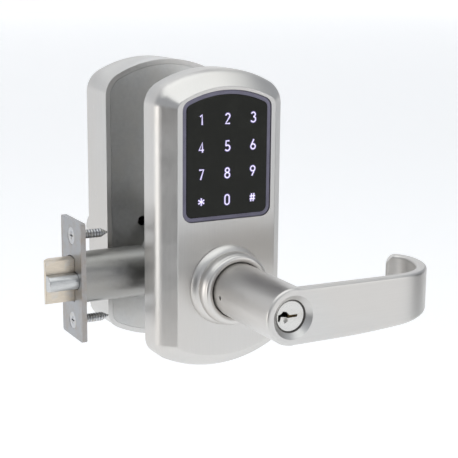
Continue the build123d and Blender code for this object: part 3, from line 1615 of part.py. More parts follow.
with BuildPart() as battery_cells:
    for index, height in enumerate(cell_heights):
        way = 1 if index % 2 == 0 else -1
        with BuildSketch(along_latch(-way * cell_half)):
            with Locations((cell_y, height)):
                Circle(cell_radius)
        extrude(amount=way * cell_body_length)
        with BuildSketch(along_latch(-way * cell_half)):
            with Locations((cell_y, height)):
                Circle(cell_nub_radius)
        extrude(amount=way * 2 * cell_half)
    mirror(about=mid_door, mode=Mode.REPLACE)
battery_cells.part.label = "battery_cells"
export_step(battery_cells.part, "parts/battery_cells.step")

with BuildPart() as battery_contacts:
    for side in (-1, 1):
        for height in cell_heights:
            with BuildSketch(along_latch(side * contact_plane_x)):
                with Locations((cell_y, height)):
                    Rectangle(contact_width, contact_width)
            extrude(amount=side * contact_thickness)
            with BuildSketch(along_latch(side * cell_half)):
                with Locations((cell_y, height)):
                    Circle(cell_nub_radius)
            extrude(amount=side * contact_travel)
    mirror(about=mid_door, mode=Mode.REPLACE)
battery_contacts.part.label = "battery_contacts"
export_step(battery_contacts.part, "parts/battery_contacts.step")

with BuildPart() as battery_cover:
    with BuildSketch(across(-inside_depth + cover_thickness)):
        add(cover_shape())
    extrude(amount=cover_thickness)
    fillet(battery_cover.faces().sort_by(Axis.Y)[0].edges(), radius=front_edge_radius)
    with BuildSketch(across(-holder_front - moving_gap)):
        add(cover_shape(-cover_rib))
        add(cover_shape(-2 * cover_rib), mode=Mode.SUBTRACT)
    extrude(amount=inside_depth - cover_thickness - holder_front - moving_gap)
    with BuildSketch(across(-holder_front)):
        with Locations((0, cover_screw_z)):
            Circle(cover_screw_radius + thread_clearance)
    extrude(amount=inside_depth, mode=Mode.SUBTRACT)
    with BuildSketch(across(-inside_depth + cover_screw_head_height)):
        with Locations((0, cover_screw_z)):
            Circle(cover_screw_head_radius + seat_clearance)
    extrude(amount=inside_depth, mode=Mode.SUBTRACT)
    mirror(about=mid_door, mode=Mode.REPLACE)
battery_cover.part.label = "battery_cover"
export_step(battery_cover.part, "parts/battery_cover.step")

with BuildPart() as cover_screw:
    mirror(
        cross_screws(
            [(0, cover_screw_z)],
            -inside_depth + cover_screw_head_height,
            cover_screw_length,
            cover_screw_radius,
            cover_screw_head_radius,
            cover_screw_head_height,
            outward=False,
        ),
        about=mid_door,
    )
cover_screw.part.label = "cover_screw"
export_step(cover_screw.part, "parts/cover_screw.step")
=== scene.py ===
import math

import bmesh
import bpy
from bpy.props import FloatProperty, FloatVectorProperty, PointerProperty
from mathutils import Matrix, Vector


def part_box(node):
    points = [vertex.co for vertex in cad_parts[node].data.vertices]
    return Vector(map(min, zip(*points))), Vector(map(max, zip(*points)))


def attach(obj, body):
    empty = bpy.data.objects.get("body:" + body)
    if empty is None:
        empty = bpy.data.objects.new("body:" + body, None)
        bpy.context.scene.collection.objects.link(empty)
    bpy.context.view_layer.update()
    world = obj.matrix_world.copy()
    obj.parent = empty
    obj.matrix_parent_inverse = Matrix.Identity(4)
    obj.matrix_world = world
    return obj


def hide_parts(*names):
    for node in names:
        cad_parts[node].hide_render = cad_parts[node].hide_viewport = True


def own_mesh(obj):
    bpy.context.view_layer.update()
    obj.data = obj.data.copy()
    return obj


bl_info = {
    "name": "Keypad Lockset Finishes",
    "version": (1, 0, 0),
    "blender": (4, 5, 0),
    "location": "View3D > Sidebar > Lockset",
    "description": "Finishes, lit keys and studio for a keypad lever lockset",
    "category": "Material",
}

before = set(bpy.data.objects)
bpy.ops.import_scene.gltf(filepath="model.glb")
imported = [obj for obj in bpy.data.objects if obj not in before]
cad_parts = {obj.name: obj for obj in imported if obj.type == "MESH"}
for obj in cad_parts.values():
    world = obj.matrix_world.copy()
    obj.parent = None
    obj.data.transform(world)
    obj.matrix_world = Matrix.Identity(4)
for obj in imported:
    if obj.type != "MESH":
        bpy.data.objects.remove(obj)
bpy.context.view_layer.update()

# Lengths are in metres, but in millimetres in shaders and in the signs' strokes.
MILLIMETRE = 0.001
SHADER_SCALE = 1000.0
GLASS_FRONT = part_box("keypad_lens")[0][1]
COVER_LOW, COVER_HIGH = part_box("battery_cover")
FACEPLATE_LOW, FACEPLATE_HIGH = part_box("latch_faceplate")
MID_DOOR = SHADER_SCALE * (FACEPLATE_LOW[1] + FACEPLATE_HIGH[1]) / 2

# The battery cells, for their shader: they lie along X, in rows one above another.
CELL_BODY_HALF = 24.1   # half the length that the sleeve covers
CELL_BAND_START = 17.55   # from a cell's middle to its paler band
CELL_ROW_FOOT = 25.3
CELL_ROW_PITCH = 14.6

# The signs' glow, against the sign itself.
GLOW_WIDTH = 2.1
GLOW_PROUD = 0.5
GLOW_STRENGTH = 0.45

# The rim round the pin hole in a lever's hub.
HUB_RADIUS = 0.0127
RIM_RADIUS = 0.00108
RIM_THICKNESS = 0.00016
RIM_FLATNESS = 0.6
RIM_STEPS, RIM_SIDES = 36, 12

# The thumb ridges at the battery cover's foot.
RIDGE_COUNT = 4
RIDGE_FOOT = 0.0045
RIDGE_PITCH = 0.0022
RIDGE_LENGTH, RIDGE_WIDTH, RIDGE_HEIGHT = 0.018, 0.0011, 0.00055
RIDGE_SINK = 0.00002   # how far a ridge's back lies in the cover
RIDGE_STEPS, RIDGE_SIDES = 24, 10

COIL_STEPS, WIRE_SIDES = 30, 10

STAGE_SPAN = 24.0
BACKDROP_PLACE = (0, 10.0, 8.0)
WALL_DISTANCE = 9.0
LAMP_AIM = (0, 0, 0.02)
CAMERA_PLACE = (-0.25674, -0.49461, 0.14743)
CAMERA_YAW, CAMERA_PITCH, CAMERA_ROLL = 28.51, 12.64, 0.55   # degrees

# Strokes of each key's sign, in millimetres about the key's centre: x to the right, then z up.
# ("arc", centre x, centre z, radius, start, end) turns from its start to its end in degrees,
# where 0 is to the right and 90 is up.
ARC_STEP = 12
SIGN_STROKES = {
    "1": [[(-0.75, 1.45), (0.3, 2.25), (0.3, -2.25)]],
    "2": [[("arc", 0.0, 1.2, 1.05, 170, -35), (-1.1, -2.25), (1.15, -2.25)]],
    "3": [[("arc", -0.05, 1.2, 1.0, 160, -90)], [("arc", -0.05, -1.05, 1.2, 90, -160)]],
    "4": [[(0.5, -2.25), (0.5, 2.25), (-1.2, -1.15), (1.2, -1.15)]],
    "5": [[(0.95, 2.25), (-0.75, 2.25), (-0.85, 0.25), ("arc", -0.05, -0.95, 1.25, 125, -150)]],
    "6": [[(0.4, 2.25), (-1.0, -0.55)], [("arc", 0.0, -1.1, 1.15, 0, 360)]],
    "7": [[(-1.1, 2.25), (1.1, 2.25), (-0.4, -2.25)]],
    "8": [[("arc", 0.0, 1.25, 0.98, 0, 360)], [("arc", 0.0, -1.05, 1.2, 0, 360)]],
    "9": [[(-0.4, -2.25), (1.0, 0.55)], [("arc", 0.0, 1.1, 1.15, 0, 360)]],
    "0": [[("arc", 0.0, 1.15, 1.1, 0, 180), ("arc", 0.0, -1.15, 1.1, 180, 360), (1.1, 1.15)]],
    "star": [
        [(0.0, -1.75), (0.0, 1.75)],
        [(-1.5, -0.87), (1.5, 0.87)],
        [(-1.5, 0.87), (1.5, -0.87)],
    ],
    "hash": [
        [(-0.85, -1.9), (-0.4, 1.9)],
        [(0.4, -1.9), (0.85, 1.9)],
        [(-1.4, 0.65), (1.45, 0.65)],
        [(-1.45, -0.65), (1.4, -0.65)],
    ],
}
KEY_ROWS = (("1", "2", "3"), ("4", "5", "6"), ("7", "8", "9"), ("star", "0", "hash"))


# --- sizes and colours that can be changed -------------------------------------------------


class LockFinishes(bpy.types.PropertyGroup):
    """Colours and textures of the lock's surfaces."""

    nickel: FloatVectorProperty(
        name="Nickel", description="Colour of the satin plate on the trims and levers",
        subtype="COLOR", size=3, min=0, max=1, default=(0.622, 0.613, 0.600),
    )
    nickel_roughness: FloatProperty(
        name="Nickel roughness", description="Softness of reflections in the satin plate",
        subtype="FACTOR", min=0, max=1, default=0.33,
    )
    grain_depth: FloatProperty(
        name="Grain depth", description="How strongly the brushed grain bends the light",
        subtype="FACTOR", min=0, max=1, default=0.22,
    )
    glass: FloatVectorProperty(
        name="Key glass", description="Colour of the glass over the keys",
        subtype="COLOR", size=3, min=0, max=1, default=(0.0115, 0.012, 0.0092),
    )
    border: FloatVectorProperty(
        name="Glass border", description="Colour of the frame round the glass",
        subtype="COLOR", size=3, min=0, max=1, default=(0.145, 0.137, 0.195),
    )
    steel: FloatVectorProperty(
        name="Faceplate steel", description="Colour of the faceplate and screws",
        subtype="COLOR", size=3, min=0, max=1, default=(0.395, 0.40, 0.415),
    )
    latch: FloatVectorProperty(
        name="Latch metal", description="Colour of the bolt and its plunger",
        subtype="COLOR", size=3, min=0, max=1, default=(0.68, 0.605, 0.505),
    )
    brass: FloatVectorProperty(
        name="Brass", description="Colour of the pins and the cylinder",
        subtype="COLOR", size=3, min=0, max=1, default=(0.70, 0.50, 0.22),
    )


class LockSigns(bpy.types.PropertyGroup):
    """Sizes and light of the signs on the keys."""

    column_pitch: FloatProperty(
        name="Column pitch", description="Between the keys' centres across the pad",
        subtype="DISTANCE", unit="LENGTH", default=0.0133, precision=5,
    )
    row_pitch: FloatProperty(
        name="Row pitch", description="Between the keys' centres up the pad",
        subtype="DISTANCE", unit="LENGTH", default=0.01245, precision=5,
    )
    top_row: FloatProperty(
        name="Top row", description="Height of the first row above the lever's axis",
        subtype="DISTANCE", unit="LENGTH", default=0.07755, precision=5,
    )
    stroke: FloatProperty(
        name="Stroke", description="Width of a sign's stroke",
        subtype="DISTANCE", unit="LENGTH", default=0.00049, precision=5,
    )
    proud: FloatProperty(
        name="Proud of the glass", description="How far the signs stand out of the glass",
        subtype="DISTANCE", unit="LENGTH", default=0.00004, precision=6,
    )
    light: FloatVectorProperty(
        name="Light", description="Colour of the lit signs",
        subtype="COLOR", size=3, min=0, max=1, default=(0.84, 0.80, 0.98),
    )
    halo: FloatVectorProperty(
        name="Halo", description="Colour of the glow round the signs",
        subtype="COLOR", size=3, min=0, max=1, default=(0.33, 0.26, 0.74),
    )
    strength: FloatProperty(
        name="Strength", description="Brightness of the lit signs", min=0, default=1.25,
    )


class LockStudio(bpy.types.PropertyGroup):
    """Floor, lights and camera."""

    floor_drop: FloatProperty(
        name="Floor drop", description="From the lever's axis down to the floor",
        subtype="DISTANCE", unit="LENGTH", default=0.34,
    )
    wall_height: FloatProperty(
        name="Wall height", description="Height of the low walls at the floor's sides",
        subtype="DISTANCE", unit="LENGTH", default=1.1,
    )
    lens: FloatProperty(
        name="Lens", description="Focal length of the camera on a 36 mm sensor, in millimetres",
        default=94.28,
    )
    top_light: FloatProperty(
        name="Top light", description="Power of the wide light overhead",
        unit="POWER", default=12.4,
    )
    side_light: FloatProperty(
        name="Side light", description="Power of the light behind and to the left",
        unit="POWER", default=1.35,
    )
    front_light: FloatProperty(
        name="Front light", description="Power of the light in front and to the right",
        unit="POWER", default=1.62,
    )
    paper_glow: FloatProperty(
        name="Paper glow", description="Light that the floor, backdrop and low walls give off",
        min=0, default=0.35,
    )
    sky: FloatProperty(
        name="Room light", description="Brightness of the light from all round",
        min=0, default=0.5,
    )


# --- shader maths ---------------------------------------------------------------------------


class Term:
    """A shader value. Arithmetic on it adds the Math or Vector Math node that does it."""

    def __init__(self, tree, socket):
        self.tree = tree
        self.socket = socket

    def feed(self, place):
        """Link to a socket."""
        self.tree.links.new(self.socket, place)

    def joined(self, operation, first, second):
        """The node that does an operation on two values, as a Term."""
        kind = "ShaderNodeVectorMath" if self.socket.type == "VECTOR" else "ShaderNodeMath"
        node = self.tree.nodes.new(kind)
        node.operation = operation
        for place, value in zip(node.inputs, (first, second)):
            give(place, value)
        return Term(self.tree, node.outputs[0])

    def __add__(self, other):
        return self.joined("ADD", self, other)

    def __radd__(self, other):
        return self.joined("ADD", other, self)

    def __sub__(self, other):
        return self.joined("SUBTRACT", self, other)

    def __rsub__(self, other):
        return self.joined("SUBTRACT", other, self)

    def __mul__(self, other):
        return self.joined("MULTIPLY", self, other)

    def __rmul__(self, other):
        return self.joined("MULTIPLY", other, self)

    def __truediv__(self, other):
        return self.joined("DIVIDE", self, other)

    def __rtruediv__(self, other):
        return self.joined("DIVIDE", other, self)

    def __pow__(self, other):
        return self.joined("POWER", self, other)

    def __rpow__(self, other):
        return self.joined("POWER", other, self)


def give(place, value):
    """Link a Term to a socket, or set a plain value on it."""
    if isinstance(value, Term):
        value.feed(place)
    else:
        place.default_value = value


class Finish:
    """A material under construction: its node tree and its Principled shader."""

    def __init__(self, name, **constants):
        self.material = bpy.data.materials.new(name)
        self.material.use_nodes = True
        self.tree = self.material.node_tree
        self.shader = self.tree.nodes["Principled BSDF"]
        for socket, value in constants.items():
            self.shader.inputs[socket.replace("_", " ")].default_value = value

    def node(self, kind, settings=(), values=(), output=0):
        """Add a node: its settings first, then its sockets' values or links. Gives an output."""
        node = self.tree.nodes.new(kind)
        for name, value in dict(settings).items():
            setattr(node, name, value)
        for name, value in dict(values).items():
            give(node.inputs[name], value)
        return Term(self.tree, node.outputs[output])

    def place(self):
        """Where the surface is, in millimetres in the lock's own frame."""
        metres = self.node("ShaderNodeTexCoord", output="Object")
        return metres * (SHADER_SCALE, SHADER_SCALE, SHADER_SCALE)

    def parts(self, vector):
        """The three numbers of a vector."""
        split = self.node("ShaderNodeSeparateXYZ", values={0: vector}).socket.node
        return [Term(self.tree, output) for output in split.outputs]

    def vector(self, x, y, z):
        """Three numbers as a vector."""
        return self.node("ShaderNodeCombineXYZ", values={0: x, 1: y, 2: z})

    def noise(self, vector, scale, detail=2.0, roughness=0.5):
        """Noise about 0.5, as a number."""
        return self.node(
            "ShaderNodeTexNoise",
            values={"Vector": vector, "Scale": scale, "Detail": detail, "Roughness": roughness},
        )

    def band(self, value, low, high, start=0.0, end=1.0):
        """Carry a value from low..high to start..end, and hold it there."""
        return self.node(
            "ShaderNodeMapRange",
            settings={"clamp": True},
            values={
                "Value": value, "From Min": low, "From Max": high, "To Min": start, "To Max": end,
            },
        )

    def blend(self, factor, first, second):
        """Mix two colours."""
        return self.node(
            "ShaderNodeMix", settings={"data_type": "RGBA"},
            values={0: factor, 6: first, 7: second}, output=2,
        )

    def tones(self, factor, colour, dark, light):
        """A colour that goes from a darker to a lighter shade of itself."""
        return self.blend(factor, shade(colour, dark), shade(colour, light))

    def bump(self, height, strength, distance):
        """Bend the light as a height would."""
        normal = self.node(
            "ShaderNodeBump", values={"Height": height, "Strength": strength, "Distance": distance}
        )
        normal.feed(self.shader.inputs["Normal"])

    def paint(self, **terms):
        """Link terms to the Principled shader's sockets."""
        for socket, term in terms.items():
            give(self.shader.inputs[socket.replace("_", " ")], term)


def shade(colour, factor=1.0):
    """A colour with alpha, made lighter or darker."""
    return tuple(min(1.0, part * factor) for part in colour) + (1.0,)


def tinted(colour, factors, factor=1.0):
    """A colour with alpha, each of its parts changed by a factor of its own."""
    return shade([part * own for part, own in zip(colour, factors)], factor)


def finishes():
    """The colours and textures that the panel sets."""
    return bpy.context.scene.lock_finishes


def coat_nodes(material, *names):
    """Put a material on CAD nodes."""
    for name in names:
        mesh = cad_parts[name].data
        mesh.materials.clear()
        mesh.materials.append(material)


# --- finishes ---------------------------------------------------------------------------------


def nickel_plate(name, grain, tint=1.0, rough=0.0, spread=0.0, etch=1.0):
    """Satin nickel plate. grain turns the place into the vector that the grain follows."""
    look = finishes()
    finish = Finish(name, Metallic=1.0, Anisotropic=spread)
    place = finish.place()
    along = grain(finish, place)
    fine = finish.noise(along, 1.0, 3.0, 0.65)
    broad = finish.noise(along * (0.23, 0.23, 0.23), 1.0, 2.0)
    cloud = finish.noise(place, 0.055, 3.0, 0.6)
    handled = finish.noise(place + (31.0, 7.0, 13.0), 0.02, 1.0)
    tone = finish.band(fine * 0.5 + broad * 0.3 + cloud * 0.2, 0.3, 0.7)
    colour = finish.tones(tone, look.nickel, 0.93 * tint, 1.05 * tint)
    warm = tinted(look.nickel, (1.02, 0.985, 0.95), tint)
    colour = finish.blend(finish.band(handled, 0.42, 0.62, 0.0, 0.5), colour, warm)
    base = look.nickel_roughness + rough
    brushed = finish.band(fine, 0.25, 0.75, base - 0.045, base + 0.055)
    worn = finish.band(cloud, 0.3, 0.7, -0.03, 0.03)
    finish.paint(Base_Color=colour, Roughness=brushed + worn)
    finish.bump(fine + broad * 0.4, look.grain_depth * etch, 0.00006)
    return finish.material


def upright_grain(finish, place):
    """Grain brushed up and down, as on the trims' fronts."""
    return place * (6.5, 6.5, 0.22)


def level_grain(finish, place):
    """Grain brushed along the grip."""
    return place * (0.2, 0.5, 7.0)


def turned_grain(finish, place):
    """Grain turned in a lathe, round the lever's axis."""
    x, y, z = finish.parts(place)
    radius = (x * x + z * z) ** 0.5
    return finish.vector(radius * 6.0, y * 6.0, 0.0)


def turned_steel(name, colour, rough, spots=0.25):
    """Plain steel turned about the lever's axis, with a thin uneven plate."""
    finish = Finish(name, Metallic=1.0)
    place = finish.place()
    fine = finish.noise(turned_grain(finish, place), 1.0, 3.0, 0.6)
    cloud = finish.noise(place, 0.16, 4.0, 0.6)
    base = finish.tones(finish.band(fine, 0.3, 0.7), colour, 0.86, 1.06)
    tarnish = tinted(colour, (0.95, 0.9, 0.78))
    base = finish.blend(finish.band(cloud, 0.45, 0.7, 0.0, spots * 2), base, tarnish)
    roughness = finish.band(fine * 0.6 + cloud * 0.4, 0.3, 0.7, rough - 0.07, rough + 0.1)
    finish.paint(Base_Color=base, Roughness=roughness)
    finish.bump(fine, 0.25, 0.00005)
    return finish.material


def pressed_steel(name, colour):
    """Zinc plated sheet: faint spangle, rolling marks and a little yellow passivation."""
    finish = Finish(name, Metallic=1.0)
    place = finish.place()
    spangle = finish.noise(place, 0.5, 4.0, 0.7)
    tone = finish.band(spangle, 0.35, 0.65)
    rolled = finish.noise(place * (0.3, 4.0, 4.0), 1.0, 2.0)
    cloud = finish.noise(place, 0.07, 3.0)
    base = finish.tones(tone, colour, 0.93, 1.03)
    yellow = tinted(colour, (1.01, 0.985, 0.94))
    base = finish.blend(finish.band(cloud, 0.4, 0.65, 0.0, 0.5), base, yellow)
    roughness = finish.band(tone * 0.5 + rolled * 0.5, 0.2, 0.8, 0.28, 0.44)
    finish.paint(Base_Color=base, Roughness=roughness)
    finish.bump(rolled, 0.12, 0.00008)
    return finish.material


def scratched_steel(name):
    """The faceplate's satin steel: fine scratches both ways, warm mottling and warmer edges."""
    look = finishes()
    finish = Finish(name, Metallic=1.0)
    place = finish.place()
    upright = finish.noise(place * (8.0, 8.0, 0.35), 1.0, 3.0, 0.7)
    across = finish.noise(place * (3.0, 0.4, 6.0), 1.0, 2.0, 0.6)
    mottle = finish.noise(place, 0.22, 4.0, 0.65)
    scratches = finish.band(upright * 0.6 + across * 0.4, 0.3, 0.7)
    base = finish.tones(scratches, look.steel, 0.80, 1.08)
    from_middle = finish.parts(place)[1] - MID_DOOR
    off_middle = (from_middle * from_middle) ** 0.5
    rust = tinted(look.steel, (0.86, 0.72, 0.58))
    base = finish.blend(finish.band(mottle, 0.44, 0.70, 0.0, 0.6), base, rust)
    base = finish.blend(finish.band(off_middle + mottle * 3.0, 12.0, 14.2, 0.0, 0.35), base, rust)
    roughness = finish.band(upright + across * 0.5, 0.4, 1.1, 0.25, 0.45)
    finish.paint(Base_Color=base, Roughness=roughness)
    finish.bump(upright + across * 0.6, 0.3, 0.00006)
    return finish.material


def bolt_metal(name, colour):
    """Nickel on sintered metal: fine pores, and rub marks along the way the bolt slides."""
    finish = Finish(name, Metallic=1.0)
    place = finish.place()
    rubbed = finish.noise(place * (0.25, 5.0, 5.0), 1.0, 3.0, 0.6)
    pores = finish.noise(place, 2.6, 3.0, 0.7)
    mottle = finish.noise(place, 0.3, 3.0)
    base = finish.tones(finish.band(rubbed, 0.3, 0.7), colour, 0.86, 1.1)
    base = finish.blend(finish.band(mottle, 0.5, 0.7, 0.0, 0.45), base, (0.60, 0.60, 0.60, 1))
    relief = pores * 0.5 + rubbed * 0.5
    finish.paint(Base_Color=base, Roughness=finish.band(relief, 0.3, 0.7, 0.24, 0.42))
    finish.bump(relief, 0.22, 0.00007)
    return finish.material


def threaded_steel(name, pitch, level=False):
    """Screws: a thread's ridges along the shank, with painted highlight on the crests and painted
    shade in the roots, under a plate that is yellowish in patches.
    """
    look = finishes()
    finish = Finish(name, Metallic=1.0)
    place = finish.place()
    turn = finish.parts(place)[0 if level else 1] * (2 * math.pi / pitch)
    ridge = finish.node("ShaderNodeMath", settings={"operation": "SINE"}, values={0: turn})
    cloud = finish.noise(place, 0.5, 3.0)
    # Painted highlight and painted shade: the colour is lighter on the thread's crests and darker
    # in its roots.
    base = finish.tones(finish.band(ridge, -1.0, 1.0), look.steel, 0.95, 1.6)
    base = finish.blend(finish.band(cloud, 0.45, 0.7, 0.0, 0.5), base, (0.55, 0.50, 0.40, 1))
    finish.paint(Base_Color=base, Roughness=finish.band(cloud, 0.3, 0.7, 0.24, 0.4))
    finish.bump(ridge, 0.7, 0.0003)
    return finish.material


def key_glass(name):
    """Hard black glass with finger smudges and a few hairline scratches."""
    look = finishes()
    finish = Finish(name, IOR=1.5, Specular_IOR_Level=0.22)
    place = finish.place()
    smudge = finish.noise(place, 0.12, 4.0, 0.6)
    streak = finish.noise(place * (1.2, 1.0, 0.16), 1.0, 3.0, 0.7)
    hair = finish.noise(place * (0.35, 1.0, 9.0), 1.0, 1.0)
    dust = finish.band(hair, 0.70, 0.74)
    worn = finish.band(smudge, 0.48, 0.68)
    roughness = finish.band(worn * 0.7 + streak * 0.3, 0.1, 0.9, 0.07, 0.21) + dust * 0.12
    finish.paint(
        Base_Color=finish.tones(worn * 0.3, look.glass, 1.0, 1.7), Roughness=roughness
    )
    finish.bump(streak, 0.03, 0.00003)
    return finish.material


def border_plastic(name):
    """The glass frame: semi-gloss lilac-grey plastic with a fine orange peel."""
    look = finishes()
    finish = Finish(name, IOR=1.49)
    place = finish.place()
    peel = finish.noise(place, 1.4, 2.0)
    cloud = finish.noise(place, 0.10, 2.0)
    base = finish.tones(finish.band(cloud, 0.35, 0.65), look.border, 0.86, 1.12)
    finish.paint(Base_Color=base, Roughness=finish.band(peel, 0.3, 0.7, 0.26, 0.38))
    finish.bump(peel, 0.08, 0.0001)
    return finish.material


def moulded_plastic(name, colour, rough=0.5):
    """Moulded plastic with a spark-eroded texture and faint flow marks."""
    finish = Finish(name, IOR=1.48)
    place = finish.place()
    spark = finish.noise(place, 1.6, 3.0, 0.7)
    flow = finish.noise(place * (0.05, 0.05, 0.18), 1.0, 2.0)
    base = finish.tones(finish.band(flow, 0.35, 0.65), colour, 0.85, 1.15)
    roughness = finish.band(spark, 0.3, 0.7, rough - 0.08, rough + 0.1)
    finish.paint(Base_Color=base, Roughness=roughness)
    finish.bump(spark, 0.25, 0.0001)
    return finish.material


def soft_rubber(name):
    """Moulded rubber with bloom in patches."""
    finish = Finish(name, IOR=1.52)
    place = finish.place()
    grain = finish.noise(place, 3.2, 2.0)
    bloom = finish.band(finish.noise(place, 0.08, 3.0), 0.45, 0.7)
    finish.paint(
        Base_Color=finish.blend(bloom, (0.018, 0.018, 0.019, 1), (0.055, 0.054, 0.053, 1)),
        Roughness=finish.band(grain, 0.3, 0.7, 0.62, 0.85),
    )
    finish.bump(grain, 0.3, 0.0001)
    return finish.material


def circuit_board(name):
    """Solder mask over copper: tracks on a grid, and plated round pads."""
    finish = Finish(name, IOR=1.5)
    place = finish.place()
    x, _, z = finish.parts(place)
    flat = finish.vector(x, z, 0.0)
    tracks = finish.node(
        "ShaderNodeTexBrick",
        settings={"offset": 0.37, "offset_frequency": 3, "squash_frequency": 2},
        values={
            "Vector": flat, "Scale": 0.42, "Mortar Size": 0.045, "Mortar Smooth": 0.1,
            "Brick Width": 1.7, "Row Height": 0.43,
        },
        output="Fac",
    )
    holes = finish.node(
        "ShaderNodeTexVoronoi", settings={"feature": "F1"},
        values={"Vector": flat, "Scale": 0.26, "Randomness": 0.55}, output="Distance",
    )
    pad = finish.band(holes, 0.10, 0.13, 1.0, 0.0)
    mask = finish.blend(tracks, (0.010, 0.085, 0.035, 1), (0.022, 0.17, 0.07, 1))
    finish.paint(
        Base_Color=finish.blend(pad, mask, (0.62, 0.58, 0.48, 1)),
        Metallic=pad,
        Roughness=finish.band(finish.noise(place, 0.8), 0.3, 0.7, 0.25, 0.4),
    )
    finish.bump(tracks * 0.6 + pad, 0.35, 0.0001)
    return finish.material


def chip_plastic(name):
    """Filled epoxy of chip bodies, paler in streaks."""
    finish = Finish(name, IOR=1.55)
    place = finish.place()
    grain = finish.noise(place, 5.0, 3.0, 0.8)
    wipe = finish.noise(place * (0.4, 0.4, 2.0), 1.0, 2.0)
    streaks = finish.band(wipe, 0.4, 0.65)
    finish.paint(
        Base_Color=finish.blend(streaks, (0.013, 0.013, 0.014, 1), (0.035, 0.034, 0.033, 1)),
        Roughness=finish.band(grain, 0.3, 0.7, 0.42, 0.6),
    )
    finish.bump(grain, 0.3, 0.00008)
    return finish.material


def lamp_resin(name):
    """Clear yellowish resin over a lamp's phosphor."""
    finish = Finish(name, IOR=1.45, Emission_Strength=0.3)
    place = finish.place()
    speck = finish.noise(place, 2.5, 3.0)
    patches = finish.band(speck, 0.35, 0.65)
    colour = finish.blend(patches, (0.80, 0.74, 0.40, 1), (0.95, 0.93, 0.80, 1))
    finish.paint(
        Base_Color=colour, Emission_Color=colour,
        Roughness=finish.band(speck, 0.3, 0.7, 0.15, 0.3),
    )
    return finish.material


def machined_brass(name):
    """Brass as it comes off the machine, dulled in places."""
    look = finishes()
    finish = Finish(name, Metallic=1.0)
    place = finish.place()
    fine = finish.noise(turned_grain(finish, place), 1.0, 3.0, 0.6)
    dull = finish.band(finish.noise(place, 0.3, 4.0), 0.45, 0.68)
    base = finish.tones(finish.band(fine, 0.3, 0.7), look.brass, 0.84, 1.08)
    finish.paint(
        Base_Color=finish.blend(dull * 0.6, base, (0.36, 0.25, 0.12, 1)),
        Roughness=finish.band(fine * 0.5 + dull * 0.5, 0.1, 0.8, 0.2, 0.42),
    )
    finish.bump(fine, 0.2, 0.00005)
    return finish.material


def plug_face(name):
    """The plug's nickel front: fine turned rings and small key scratches round the slot."""
    finish = Finish(name, Metallic=1.0)
    place = finish.place()
    rings = finish.noise(turned_grain(finish, place), 1.3, 2.0)
    scratch = finish.noise(place * (0.8, 1.0, 9.0), 1.0, 2.0, 0.7)
    z = finish.parts(place)[2]
    near_slot = finish.band((z * z) ** 0.5, 0.5, 3.2, 1.0, 0.0)
    marks = finish.band(scratch, 0.52, 0.66) * near_slot
    base = finish.blend(finish.band(rings, 0.3, 0.7), (0.62, 0.61, 0.59, 1), (0.74, 0.73, 0.71, 1))
    base = finish.blend(marks * 0.6, base, (0.50, 0.42, 0.30, 1))
    finish.paint(Base_Color=base, Roughness=finish.band(rings + marks * 0.5, 0.3, 1.1, 0.24, 0.4))
    finish.bump(rings * 0.5 + marks, 0.25, 0.00005)
    return finish.material


def spring_wire(name):
    """Drawn wire, dark with oil."""
    finish = Finish(name, Metallic=1.0)
    place = finish.place()
    drawn = finish.noise(place, 4.0, 3.0, 0.6)
    oil = finish.band(finish.noise(place, 0.35, 3.0), 0.42, 0.66)
    finish.paint(
        Base_Color=finish.blend(oil, (0.46, 0.46, 0.47, 1), (0.22, 0.21, 0.20, 1)),
        Roughness=finish.band(drawn * 0.5 + oil * 0.5, 0.1, 0.8, 0.22, 0.42),
    )
    finish.bump(drawn, 0.15, 0.00005)
    return finish.material


def cell_sleeve(name):
    """A cell's plain grey shrink sleeve with a paler band, and bare metal at both ends."""
    finish = Finish(name, Coat_Weight=0.3, Coat_Roughness=0.15)
    place = finish.place()
    x, _, z = finish.parts(place)
    reach = (x * x) ** 0.5
    bare = finish.band(reach, CELL_BODY_HALF - 0.05, CELL_BODY_HALF + 0.05)
    row = finish.node(
        "ShaderNodeMath", settings={"operation": "FLOOR"},
        values={0: (z - CELL_ROW_FOOT) / CELL_ROW_PITCH},
    )
    odd_row = finish.node(
        "ShaderNodeMath", settings={"operation": "PINGPONG"}, values={0: row, 1: 1.0}
    )
    # The cells lie turn about, so the band's side changes from row to row.
    way = 1.0 - 2.0 * odd_row
    pale = finish.band(x * way, CELL_BAND_START - 0.15, CELL_BAND_START + 0.15)
    wrinkle = finish.noise(place * (0.4, 2.0, 2.0), 1.0, 3.0)
    colour = finish.blend(pale, (0.06, 0.065, 0.07, 1), (0.40, 0.41, 0.42, 1))
    colour = finish.blend(bare, colour, (0.66, 0.65, 0.63, 1))
    roughness = finish.band(wrinkle, 0.3, 0.7, 0.24, 0.38)
    finish.paint(Base_Color=colour, Metallic=bare, Roughness=roughness)
    finish.bump(wrinkle, 0.15, 0.0001)
    return finish.material


# --- pieces ---------------------------------------------------------------------------------


def stand(name, data):
    """Stand data in the scene as an object of the same name."""
    piece = bpy.data.objects.new(name, data)
    bpy.context.scene.collection.objects.link(piece)
    return piece


def skin(mesh, rings, closed):
    """Join each ring of points to the next. A closed ring's last point meets its first."""
    for first, second in zip(rings, rings[1:]):
        for side in range(len(first) if closed else len(first) - 1):
            after = (side + 1) % len(first)
            mesh.faces.new((first[side], first[after], second[after], second[side]))


def modelled(name, mesh):
    """Turn a finished bmesh into a piece, smooth but for its flat ends."""
    bmesh.ops.recalc_face_normals(mesh, faces=mesh.faces)
    data = bpy.data.meshes.new(name)
    mesh.to_mesh(data)
    mesh.free()
    for polygon in data.polygons:
        polygon.use_smooth = len(polygon.vertices) == 4
    return stand(name, data)


